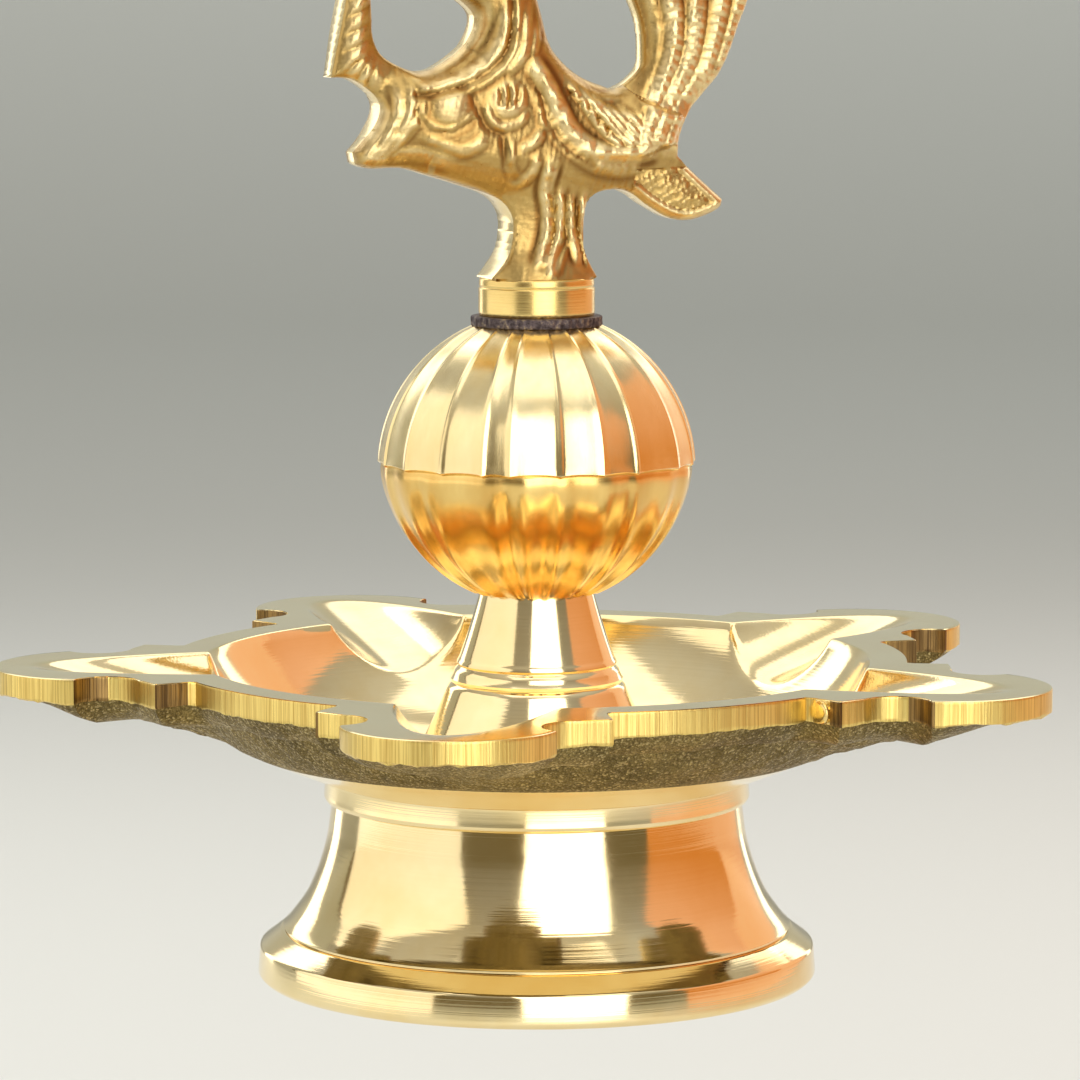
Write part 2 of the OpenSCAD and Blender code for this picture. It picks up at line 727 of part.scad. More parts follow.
module dish() {
    color(POLISHED)
        difference() {
            union() {
                translate([0, 0, rim_z - rim_t])
                    linear_extrude(rim_t)
                        dish_plan();
                rotate_extrude()
                    bowl_section(dish_wall, rim_z - rim_t / 2);
                translate([0, 0, dish_z])
                    cylinder(d = dish_boss_d, h = dish_boss_h);
                intersection() {
                    union() {
                        for (i = [0 : lobes - 1])
                            channel_bar(i, channel_r + dish_wall, bulge_from, bulge_to);
                    }
                    translate([0, 0, floor_z])
                        cylinder(r = lobe_reach, h = rim_z - rim_t / 2 - floor_z);
                }
            }
            rotate_extrude()
                bowl_section(0, rim_z + OVER);
            for (i = [0 : lobes - 1])
                channel_bar(i, channel_r, well_floor_d / 2 + channel_lap, lobe_reach + OVER);
            translate([0, 0, dish_z - EPS])
                cylinder(d = rod_d + 2 * rod_clear, h = floor_t + 2 * EPS);
        }
}

// Foot

foot_flare_rise = foot_h - foot_line_h;
foot_flare_run = (foot_line_d - foot_neck_d) / 2;
foot_flare_r = (foot_flare_run * foot_flare_run + foot_flare_rise * foot_flare_rise) / (2 * foot_flare_run);

// Section of the foot with every face moved in by inset, up to a height
module foot_section(inset, top) {
    difference() {
        polygon([[0, 0], [foot_d / 2 - foot_bevel - inset, 0], [foot_d / 2 - inset, foot_bevel],
                 [foot_d / 2 - inset, foot_band_h - inset / 3],
                 [foot_line_d / 2 - inset, foot_line_h - inset / 3],
                 [foot_line_d / 2 - inset, top], [0, top]]);
        translate([foot_neck_d / 2 + foot_flare_r, foot_line_h + foot_flare_rise])
            circle(r = foot_flare_r + inset);
    }
}

module foot() {
    color(POLISHED)
        translate([0, 0, foot_z])
            difference() {
                rotate_extrude()
                    foot_section(0, foot_h);
                translate([0, 0, -EPS])
                    rotate_extrude()
                        foot_section(foot_wall, foot_h - foot_web + EPS);
                turned_line(foot_line_d / 2, foot_line_h);
                cylinder(d = rod_d + 2 * rod_clear, h = foot_h + OVER);
            }
}

// Tie rod

module tie_rod() {
    color(STEEL)
        translate([0, 0, rod_low])
            cylinder(d = rod_d, h = rod_top - rod_low);
}

module nut_washer() {
    color(STEEL)
        translate([0, 0, web_z - nut_washer_t])
            bored_disc(nut_washer_d, nut_washer_t);
}

module nut() {
    color(STEEL)
        translate([0, 0, nut_z])
            difference() {
                cylinder(d = nut_af / cos(30), h = nut_h, $fn = 6);
                translate([0, 0, -EPS])
                    cylinder(d = rod_d + 2 * rod_clear, h = nut_h + 2 * EPS, $fn = 64);
            }
}

top_hook();
for (i = [0 : links - 1])
    chain_link(i);
suspension_ring();
hanging_eye();
bird();
neck_washer();
ball_upper();
ball_lower();
stem();
dish();
foot();
tie_rod();
nut_washer();
nut();
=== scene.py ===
"""Hanging chain oil lamp: cast and turned brass. Pieces are drawn in millimetres in the frame's axes."""

import math

import bpy
import numpy as np
from mathutils import Matrix, Vector


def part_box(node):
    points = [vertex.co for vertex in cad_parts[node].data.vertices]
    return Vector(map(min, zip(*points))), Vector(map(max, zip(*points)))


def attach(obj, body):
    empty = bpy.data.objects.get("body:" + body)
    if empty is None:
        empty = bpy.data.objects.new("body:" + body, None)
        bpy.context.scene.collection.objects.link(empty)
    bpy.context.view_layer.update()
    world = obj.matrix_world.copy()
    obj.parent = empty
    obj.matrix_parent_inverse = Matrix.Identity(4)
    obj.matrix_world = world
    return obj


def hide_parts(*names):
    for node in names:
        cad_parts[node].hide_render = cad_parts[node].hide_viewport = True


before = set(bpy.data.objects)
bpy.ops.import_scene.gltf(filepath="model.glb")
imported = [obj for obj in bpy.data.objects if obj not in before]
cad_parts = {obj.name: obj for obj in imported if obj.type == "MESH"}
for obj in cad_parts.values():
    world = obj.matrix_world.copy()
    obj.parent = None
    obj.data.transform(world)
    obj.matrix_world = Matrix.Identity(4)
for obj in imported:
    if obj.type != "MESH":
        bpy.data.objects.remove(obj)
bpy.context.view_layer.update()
MM = 0.001


def span(node):
    """The lowest and the highest height of a CAD node, in mm."""
    low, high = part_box(node)
    return low.z / MM, high.z / MM


FOOT_Z = span("foot")[0]
DISH_Z, RIM_Z = span("dish")
FLOOR_Z, STEM_TOP_Z = span("stem")
SEAM_Z, BALL_TOP_Z = span("ball_upper")
WASHER_Z = span("neck_washer")[0]
BIRD_Z, EYE_SEAT_Z = span("bird")
BORE_R = 2.65


# Materials


class Nodes:
    """The node tree of a material or of the world, with short calls to add and join nodes."""

    def __init__(self, owner, place="Object"):
        owner.use_nodes = True
        self.owner, self.tree = owner, owner.node_tree
        self.place = self.make("ShaderNodeTexCoord")[place]

    def feed(self, socket, value):
        """Sets a socket to a colour, vector or number, or joins another node's output to it. None leaves it alone."""
        if isinstance(value, bpy.types.NodeSocket):
            self.tree.links.new(value, socket)
        elif value is not None:
            socket.default_value = (*value, 1) if socket.type == "RGBA" else value

    def make(self, kind, inputs=None, **settings):
        """Adds a node with these settings, feeds its inputs by name or number, and gives its outputs."""
        node = self.tree.nodes.new(kind)
        for key, value in settings.items():
            setattr(node, key, value)
        for key, value in (inputs or {}).items():
            self.feed(node.inputs[key], value)
        return node.outputs

    def math(self, operation, *values):
        return self.make("ShaderNodeMath", dict(enumerate(values)), operation=operation)[0]

    def split(self):
        """The place's x, y and z."""
        return self.make("ShaderNodeSeparateXYZ", {0: self.place})

    def scaled(self, x, y, z):
        """The place in metres, stretched by a factor on each axis."""
        return self.make("ShaderNodeMapping", {"Vector": self.place, "Scale": (x, y, z)})[0]

    def rings(self, scale):
        """Coordinates that are the same all round the Z axis: distance from it, and height."""
        x, y, z = self.split()
        square = self.math("ADD", self.math("MULTIPLY", x, x), self.math("MULTIPLY", y, y))
        out = self.math("MULTIPLY", self.math("SQRT", square), scale)
        return self.make("ShaderNodeCombineXYZ", {0: out, 1: self.math("MULTIPLY", z, scale)})[0]

    def noise(self, vector, scale=1.0, detail=2.0, rough=0.5):
        return self.make("ShaderNodeTexNoise",
                         {"Vector": vector, "Scale": scale, "Detail": detail, "Roughness": rough})["Fac"]

    def grains(self, scale):
        """Cells of a crystalline skin: distance from each grain's middle, and a chance value for each grain."""
        cell = self.make("ShaderNodeTexVoronoi", {"Vector": self.place, "Scale": scale})
        return cell["Distance"], self.make("ShaderNodeSeparateColor", {0: cell["Color"]})[0]

    def ramp(self, value, *stops):
        """Colours or numbers at places from 0 to 1."""
        node = self.tree.nodes.new("ShaderNodeValToRGB")
        elements = node.color_ramp.elements
        while len(elements) < len(stops):
            elements.new(0.5)
        for element, (at, colour) in zip(elements, stops):
            element.position = at
            element.color = (*colour, 1) if isinstance(colour, tuple) else (colour, colour, colour, 1)
        self.feed(node.inputs[0], value)
        return node.outputs[0]

    def mix(self, share, a, b):
        return self.make("ShaderNodeMix", {0: share, 6: a, 7: b}, data_type="RGBA")[2]

    def bump(self, height, depth_mm, over=None):
        return self.make("ShaderNodeBump", {"Distance": depth_mm * MM, "Height": height, "Normal": over,
                                            "Strength": 1.0})[0]

    def finish(self, colour, rough, normal=None, metal=1.0, glow=None, glow_colour=None):
        """Feeds the material's shader, and gives the material."""
        shader = self.tree.nodes["Principled BSDF"].inputs
        for name, value in (("Base Color", colour), ("Roughness", rough), ("Normal", normal), ("Metallic", metal),
                            ("Emission Strength", glow), ("Emission Color", glow_colour)):
            self.feed(shader[name], value)
        return self.owner


def material(name):
    return Nodes(bpy.data.materials.new(name))


def turned_brass(name, light, deep, marks=0.004, gloss=(0.06, 0.15)):
    """Brass polished on a lathe: fine rings and soft smears."""
    n = material(name)
    smear = n.noise(n.place, 70, 4, 0.6)
    colour = n.ramp(smear, (0.3, deep), (0.62, light))
    ring = n.noise(n.rings(2600), 1, 3, 0.6)
    rough = n.ramp(n.noise(n.place, 160, 5, 0.65), (0.3, gloss[0]), (0.75, gloss[1]))
    return n.finish(colour, rough, n.bump(ring, marks))


def brushed_brass(name, light, deep, gloss):
    """Brass rubbed down by hand: fine upright scratches and smears."""
    n = material(name)
    smear = n.noise(n.scaled(220, 220, 60), 1, 4, 0.6)
    scratch = n.noise(n.scaled(3800, 3800, 160), 1, 3, 0.7)
    colour = n.ramp(smear, (0.3, deep), (0.66, light))
    rough = n.ramp(n.noise(n.place, 230, 4, 0.65), (0.3, gloss[0]), (0.72, gloss[1]))
    return n.finish(colour, rough, n.bump(scratch, 0.005))


def filed_brass(name, light, dark, stripe):
    """A rim edge dressed with a file: fine upright scores of uneven depth, and darker stripes."""
    n = material(name)
    scores = n.noise(n.scaled(4200, 4200, 60), 1, 3, 0.6)
    broad = n.noise(n.scaled(520, 520, 25), 1, 3, 0.6)
    colour = n.mix(n.ramp(broad, (0.32, stripe), (0.5, 0.0)), n.ramp(scores, (0.3, dark), (0.58, light)), dark)
    normal = n.bump(scores, 0.045, over=n.bump(broad, 0.06))
    return n.finish(colour, n.ramp(scores, (0.3, 0.42), (0.7, 0.26)), normal)


def rough_cast(name):
    """The sand-cast skin under the dish: olive brown grain, with painted shade between the grains and painted glints on
    some of them.
    """
    n = material(name)
    far, chance = n.grains(4300)
    lumps = n.noise(n.place, 1300, 3, 0.6)
    stain = n.noise(n.place, 130, 4, 0.65)
    ground = n.ramp(stain, (0.3, (0.15, 0.11, 0.042)), (0.68, (0.36, 0.265, 0.095)))
    # Painted shade: darker towards the edges of each grain, where the skin dips
    ground = n.mix(n.ramp(far, (0.3, 0.0), (0.7, 0.7)), ground, (0.08, 0.055, 0.02))
    # Painted glints: some grains are much lighter
    colour = n.mix(n.ramp(chance, (0.74, 0.0), (0.99, 0.5)), ground, (0.70, 0.55, 0.25))
    normal = n.bump(far, -0.08, over=n.bump(lumps, 0.22))
    return n.finish(colour, n.ramp(chance, (0.5, 0.6), (0.95, 0.36)), normal)


def cast_brass(name):
    """Cast figure brass, rubbed bright on its high places, and dark brown in its hollows and beside its strands:
    painted shade, partly patina.
    """
    n = material(name)
    relief = n.make("ShaderNodeAttribute", attribute_name="relief")["Fac"]
    grain = n.noise(n.place, 2300, 4, 0.7)
    lumps = n.noise(n.place, 420, 3, 0.6)
    # Low values of the figure's attribute, in the cut lines and beside the strands, are dark brown: painted shade,
    # partly patina
    colour = n.ramp(relief, (0.0, (0.075, 0.032, 0.008)), (0.3, (0.25, 0.13, 0.035)), (0.62, (0.52, 0.35, 0.12)),
                    (1.0, (0.83, 0.65, 0.33)))
    colour = n.mix(n.ramp(lumps, (0.35, 0.3), (0.55, 0.0)), colour, (0.34, 0.18, 0.045))
    normal = n.bump(grain, 0.028, over=n.bump(lumps, 0.03))
    return n.finish(colour, n.ramp(grain, (0.3, 0.40), (0.7, 0.26)), normal)


def drawn_wire(name):
    """Brass wire, handled: thin brown film with rubbed bright places."""
    n = material(name)
    film = n.noise(n.place, 220, 5, 0.65)
    colour = n.ramp(film, (0.32, (0.44, 0.27, 0.09)), (0.55, (0.80, 0.58, 0.23)), (0.8, (0.90, 0.70, 0.32)))
    lines = n.noise(n.scaled(900, 900, 120), 1, 3, 0.6)
    return n.finish(colour, n.ramp(film, (0.3, 0.38), (0.7, 0.16)), n.bump(lines, 0.02))


def dark_metal(name):
    """The blackened washer: purple-grey and grainy, with brass showing at worn points."""
    n = material(name)
    grain = n.noise(n.place, 1500, 4, 0.7)
    colour = n.ramp(grain, (0.35, (0.045, 0.034, 0.036)), (0.55, (0.13, 0.10, 0.10)), (0.78, (0.45, 0.34, 0.18)))
    return n.finish(colour, n.ramp(grain, (0.4, 0.6), (0.8, 0.35)), n.bump(grain, 0.25), 0.85)


def plain_steel(name):
    n = material(name)
    film = n.noise(n.place, 260, 4, 0.6)
    colour = n.ramp(film, (0.3, (0.30, 0.29, 0.28)), (0.65, (0.56, 0.56, 0.55)))
    return n.finish(colour, n.ramp(film, (0.3, 0.42), (0.7, 0.24)), n.bump(n.noise(n.place, 1400, 3), 0.02))


POLISHED = turned_brass("polished_brass", (0.95, 0.78, 0.45), (0.90, 0.68, 0.32), 0.013)
SATIN = turned_brass("satin_collar", (0.88, 0.66, 0.26), (0.74, 0.51, 0.17), 0.016, (0.2, 0.3))
WARM = brushed_brass("brushed_brass_warm", (0.93, 0.66, 0.24), (0.76, 0.46, 0.13), (0.17, 0.27))
BRUSHED = brushed_brass("brushed_brass", (0.96, 0.79, 0.44), (0.89, 0.68, 0.32), (0.16, 0.26))
LAPPED = turned_brass("lapped_rim", (0.90, 0.76, 0.42), (0.85, 0.69, 0.35), 0.002, (0.08, 0.18))
FILED = filed_brass("filed_edge", (0.88, 0.67, 0.22), (0.55, 0.36, 0.095), 0.45)
# Painted shade: a near-black copy of the filed brass for the notches between the lobes
NOTCH_SHADE = filed_brass("notch_painted_shade", (0.34, 0.21, 0.075), (0.08, 0.045, 0.02), 0.8)
ROUGH = rough_cast("rough_cast_brass")
CAST = cast_brass("cast_figure_brass")
WIRE = drawn_wire("drawn_brass_wire")
DARK = dark_metal("dark_washer_metal")
STEEL = plain_steel("plain_steel")


# Meshes


def grid_faces(rows, cols, wrap_rows=False, wrap_cols=True):
    """Quads over a grid of vertices stored row by row."""
    r, c = np.mgrid[:rows if wrap_rows else rows - 1, :cols if wrap_cols else cols - 1]
    up, on = (r + 1) % rows, (c + 1) % cols
    return np.stack([r * cols + c, r * cols + on, up * cols + on, up * cols + c], -1).reshape(-1, 4)


def outward(verts, faces):
    """The faces of a closed shell, turned so that they look outwards."""
    a, b, c = (verts[faces[:, k]] for k in (0, 1, 2))
    d = verts[faces[:, 3]] if faces.shape[1] == 4 else c
    volume = np.einsum("ij,ij->", a, np.cross(b, c)) + np.einsum("ij,ij->", a, np.cross(c, d))
    return faces if volume > 0 else faces[:, ::-1]


def closed_rows(verts, rows):
    """A closed shell from vertices stored row by row, whose last row joins the first."""
    return verts, outward(verts, grid_faces(rows, len(verts) // rows, wrap_rows=True))


def joined(*shells):
    """Several shells as one list of vertices and one of faces."""
    verts, faces, count = [], [], 0
    for v, f in shells:
        verts.append(v)
        faces += [[i + count for i in face] for face in (f if isinstance(f, list) else f.tolist())]
        count += len(v)
    return np.concatenate(verts), faces


def mesh_object(name, verts, faces, materials):
    mesh = bpy.data.meshes.new(name)
    mesh.from_pydata(verts, [], faces)
    for each in materials:
        mesh.materials.append(each)
    mesh.polygons.foreach_set("use_smooth", np.ones(len(faces), bool))
    obj = bpy.data.objects.new(name, mesh)
    bpy.context.collection.objects.link(obj)
    return obj


def piece(name, shell, body, node, materials, face_material=None, angle=32, relief=None):
    """A mesh that rides a body and stands for a CAD node."""
    verts, faces = shell
    obj = mesh_object(name, (verts * MM).tolist(), faces if isinstance(faces, list) else faces.tolist(), materials)
    mesh = obj.data
    if face_material is not None:
        mesh.polygons.foreach_set("material_index", np.asarray(face_material, np.int32))
    mesh.set_sharp_from_angle(angle=math.radians(angle))
    if relief is not None:
        mesh.attributes.new("relief", "FLOAT", "POINT").data.foreach_set("value", relief.astype(np.float32))
    mesh.update()
    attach(obj, body)
    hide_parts(node)


def rounded(points, steps=4):
    """A closed outline whose corners (x, y, radius) are eased by that radius."""
    p = np.asarray([q[:2] for q in points], float)
    out = []
    for i, q in enumerate(points):
        ease = q[2] if len(q) > 2 else 0
        before, after = p[i - 1] - p[i], p[(i + 1) % len(p)] - p[i]
        a, b = np.linalg.norm(before), np.linalg.norm(after)
        if ease <= 0 or min(a, b) < 1e-6:
            out.append(p[i])
            continue
        start, end = p[i] + before / a * min(ease, a / 2), p[i] + after / b * min(ease, b / 2)
        for t in np.linspace(0, 1, steps + 1):
            out.append((1 - t) ** 2 * start + 2 * t * (1 - t) * p[i] + t * t * end)
    return np.asarray(out)


def arc(centre, radius, start, end, steps):
    """Points of an arc, angles in degrees."""
    a = np.radians(np.linspace(start, end, steps))
    return [(centre[0] + radius * c, centre[1] + radius * s) for c, s in zip(np.cos(a), np.sin(a))]


def circle(count):
    """Angles all round, evenly spaced."""
    return np.linspace(0, 2 * math.pi, count, endpoint=False)


def ring_points(rows):
    """Vertices of rows round the Z axis, each row given as radius, angles and height."""
    return np.concatenate([np.stack(np.broadcast_arrays(r * np.cos(a), r * np.sin(a), z), -1) for r, a, z in rows])


def lathe(profile, z, segments):
    """A closed profile of (radius, height) turned round the Z axis."""
    return closed_rows(ring_points([(r, circle(segments), h + z) for r, h in profile]), len(profile))


def run_length(path):
    """Distance along a path at each of its points."""
    return np.concatenate([[0], np.cumsum(np.hypot(*np.diff(path, axis=0).T))])


def wire(path, radius, across, sides=20, closed=True):
    """A round wire along a flat path. across is the direction square to the path's plane."""
    p = np.asarray(path, float)
    run = np.roll(p, -1, 0) - np.roll(p, 1, 0) if closed else np.gradient(p, axis=0)
    run /= np.linalg.norm(run, axis=1)[:, None]
    n = np.asarray(across, float)
    b = np.cross(run, n)
    a = circle(sides)[None, :, None]
    r = np.broadcast_to(np.asarray(radius, float), (len(p),))[:, None, None]
    verts = (p[:, None] + r * (np.cos(a) * b[:, None] + np.sin(a) * n)).reshape(-1, 3)
    faces = outward(verts, grid_faces(len(p), sides, wrap_rows=closed)).tolist()
    if not closed:
        last = (len(p) - 1) * sides
        ends = [list(range(sides)), list(range(last + sides - 1, last - 1, -1))]
        flip = faces[0][0] > faces[0][1]
        faces += [e[::-1] if flip else e for e in ends]
    return verts, faces


def spline(points, closed=False, steps=8):
    """A smooth curve through points. A point given twice is a corner."""
    p = np.asarray(points, float)
    n = len(p)
    t = (np.arange(steps) / steps)[:, None]
    out = []
    for i in range(n if closed else n - 1):
        a, b, c, d = (p[(i + k) % n] if closed else p[min(max(i + k, 0), n - 1)] for k in (-1, 0, 1, 2))
        if not np.allclose(b[:2], c[:2]):
            square, cube = 2 * a - 5 * b + 4 * c - d, 3 * b - a - 3 * c + d
            out.append((2 * b + (c - a) * t + square * t**2 + cube * t**3) / 2)
    if not closed:
        out.append(p[-1:])
    return np.concatenate(out)


def soft_min(a, b, ease):
    return (a + b - np.sqrt((a - b) ** 2 + ease * ease)) / 2


def soft_max(a, b, ease):
    return -soft_min(-a, -b, ease)


def lumps(x, y, size):
    """Smooth uneven ground from -1 to 1, with bumps about a size across."""
    k = 2 * math.pi / size
    return (np.sin(k * (0.83 * x + 0.31 * y) + 1.3) * np.sin(k * (0.74 * y - 0.41 * x) + 0.4)
            + np.sin(k * 1.7 * (0.52 * x - 0.79 * y) + 2.2) * np.sin(k * 1.6 * (0.66 * x + 0.58 * y))) / 2


# Foot

FOOT_SEGMENTS = 288
# Outside from the bottom edge over the rim band and the sloped shoulder to the turned line below the flare
FOOT_EDGE = [(30.4, 0, 0.3), (33.2, 0, 0.25), (33.7, 0.55, 0.25), (33.44, 3.9, 0.3), (30.95, 5.75, 0.12),
             (30.45, 5.9, 0.05), (30.45, 6.1, 0.05), (30.62, 6.2, 0.08)]
FLARE = [(30.62, 6.2), (29.8, 7.1), (28, 9.6), (26.85, 12), (25.95, 14.5), (25.3, 17), (24.98, 19.2), (24.73, 21.3)]
# The top, its seat for the dish and the web round the tie rod
FOOT_TOP = [(24.6, 21.45), (23.4, 21.45), (23.2, 20), (BORE_R, 20), (BORE_R, 16.4)]
FOOT_HOLLOW = [*arc((45.77, 20), 23.57, 188.8, 219.5, 24), (27.7, 5), (30.7, 3), (30.7, 0.5)]


def foot():
    profile = [*rounded(FOOT_EDGE)[1:], *spline(FLARE), *FOOT_TOP, *FOOT_HOLLOW]
    shell = lathe(profile, FOOT_Z, FOOT_SEGMENTS)
    row = np.arange(len(shell[1])) // FOOT_SEGMENTS
    hidden = row >= len(profile) - len(FOOT_HOLLOW) - 2
    piece("foot_turned", shell, "lamp", "foot", [POLISHED, ROUGH], hidden)


# Dish

# Radii of the well, of its flat floor and of the rim between the lobes, and thickness of rim and wall
WELL_R, WELL_FLOOR_R, RIM_R, RIM_T, WALL = 40.0, 18.0, 44.5, 2.8, 3.0
# The wick channels: radius, distance out where they run out on the rim, and slope
CHANNEL_R, CHANNEL_END, CHANNEL_SLOPE = 10.6, 58.5, math.radians(15)
WELL_RISE = RIM_Z - FLOOR_Z
WELL_ARC = ((WELL_R - WELL_FLOOR_R) ** 2 + WELL_RISE**2) / (2 * WELL_RISE)
# Directions of the lobes, which the moulder didn't space evenly, and half the angle of a lobe's root
LOBES = np.radians(24.5 + 72 * np.arange(5) + (-4, 2.5, 0, 1.5, 3.5))
ROOT = math.radians(20.39)
# Half a lobe's edge from its tip to the rim, as distances out and across: tip, waist, flank, shoulder and root
LOBE_EDGE = [arc((52.4, 0), 12.6, 0, 74.4, 48), arc((52.2, 13.9), 4.0, -26.2, -173.5, 30),
             np.linspace((48.23, 13.45), (46.5, 16.9), 12), np.linspace((46.5, 16.9), (42.6, 15.5), 20),
             np.linspace((42.6, 15.5), (41.71, 15.5), 4)]
# For the ends of these stretches: the middles of the mesh lines that lead there, and angles where they leave the well
LOBE_MIDDLES = np.array([(55, 0), (53.6, 4.2), (47, 9.5), (44.2, 12), (41.3, 14.2), (40.9, 14.7)])
LOBE_FACING = np.radians([0, 3, 10, 13.5, 19.5, 20.4])
# Parts of the stretches of waist and shoulder that get painted shade, a near-black filed brass, in the notches between
# the lobes
WAIST, SHOULDER, SHADED_WAIST = 1, 3, 0.45
# How far inside the well's edge the bulges under the channels come out of the bowl
BULGE_LAP = 6.0
# Where the rough underside leaves the outline for a circle, and how far the rim's upper edge is broken
SKIN_R, BROKEN = 42.0, 0.22
# Casting lumps left at two roots, as lobe, place and radius: one stands out of the edge, one runs up over it
NUB_LOBE, NUB, NUB_R = 4, (43.7, -15.9), 1.35
SPUR_LOBE, SPUR, SPUR_R, SPUR_RISE = 2, (43.3, 15.75), 1.1, 1.9
# Swelling of the underside away from the edge: depth, distance that it takes, and where it ends along a lobe
SWELL, SWELL_RUN, SWELL_END, SWELL_EASE = 3.2, 1.7, 62.0, 9.0
# The turned underside from its rough border to the foot: radius and height above the dish's seat
TURNED = [(35.0, 8.0), (31.0, 6.35), (26.2, 4.4)]
SEAT = [(26.2, 4.4), (25.5, 4.2, 0.15), (25.68, 1.95, 0.12), (25.45, 1.5, 0.08), (23.6, 1.45, 0.1), (23.4, 0)]
# The dish's surfaces, in the order of its materials
BOWL, FLAT, EDGE, SKIN, NOTCH, LUMP = range(6)


def turned(points, angle):
    return np.asarray(points) @ np.array([[math.cos(angle), math.sin(angle)], [-math.sin(angle), math.cos(angle)]])


def rays(angles):
    return np.stack([np.cos(angles), np.sin(angles)], -1)


def lobe_side():
    """Half a lobe: edge points, middles of the mesh lines to them, where these leave the well, and dark places."""
    edge, middle, facing, dark = [], [], [], []
    for i, points in enumerate(LOBE_EDGE):
        share = np.linspace(0, 1, len(points))[:-1]
        edge.append(np.asarray(points)[:-1])
        middle.append(LOBE_MIDDLES[i] + (LOBE_MIDDLES[i + 1] - LOBE_MIDDLES[i]) * share[:, None])
        facing.append(LOBE_FACING[i] + (LOBE_FACING[i + 1] - LOBE_FACING[i]) * share)
        dark.append((share < SHADED_WAIST) if i == WAIST else np.full(len(share), i == SHOULDER))
    return [np.concatenate(part) for part in (edge, middle, facing, dark)]


def dish_outline():
    """The whole outline: points, middles of the mesh lines, directions where they leave the well, and dark places."""
    edge, middle, facing, dark = lobe_side()
    edge, middle = (np.concatenate([part[:0:-1] * (1, -1), part]) for part in (edge, middle))
    facing, dark = np.concatenate([-facing[:0:-1], facing]), np.concatenate([dark[:0:-1], dark])
    columns = []
    for a, b in zip(LOBES, [*LOBES[1:], LOBES[0] + 2 * math.pi]):
        columns.append((turned(edge, a), turned(middle, a), rays(facing + a), dark))
        ray = rays(np.linspace(a + ROOT, b - ROOT, 60))
        columns.append((RIM_R * ray, (RIM_R + WELL_R) / 2 * ray, ray, np.zeros(len(ray), bool)))
    return [np.concatenate(part) for part in zip(*columns)]


def lobe_place(x, y):
    """Distance out along the nearest lobe, and across it."""
    a = (np.arctan2(y, x)[:, None] - LOBES + math.pi) % (2 * math.pi) - math.pi
    a = np.take_along_axis(a, np.abs(a).argmin(1)[:, None], 1)[:, 0]
    r = np.hypot(x, y)
    return r * np.cos(a), r * np.sin(a)


def channel(x, y, radius):
    """Height of a round bar's underside along the nearest wick channel."""
    u, v = lobe_place(x, y)
    lift = np.sqrt(np.maximum(radius**2 - v**2, 0)) / math.cos(CHANNEL_SLOPE)
    height = RIM_Z + CHANNEL_R + (u - CHANNEL_END) * math.tan(CHANNEL_SLOPE) - lift
    return np.where((np.abs(v) < radius) & (u > 20), height, RIM_Z + 20)


def bowl(r, grow):
    """Height of the bowl's inside, or of its outside one wall further down."""
    run = np.maximum(r - WELL_FLOOR_R, 0)
    drop = np.sqrt(np.maximum((WELL_ARC + grow) ** 2 - run**2, 0))
    return np.where(run < WELL_ARC + grow, FLOOR_Z + WELL_ARC - drop, RIM_Z + 20)


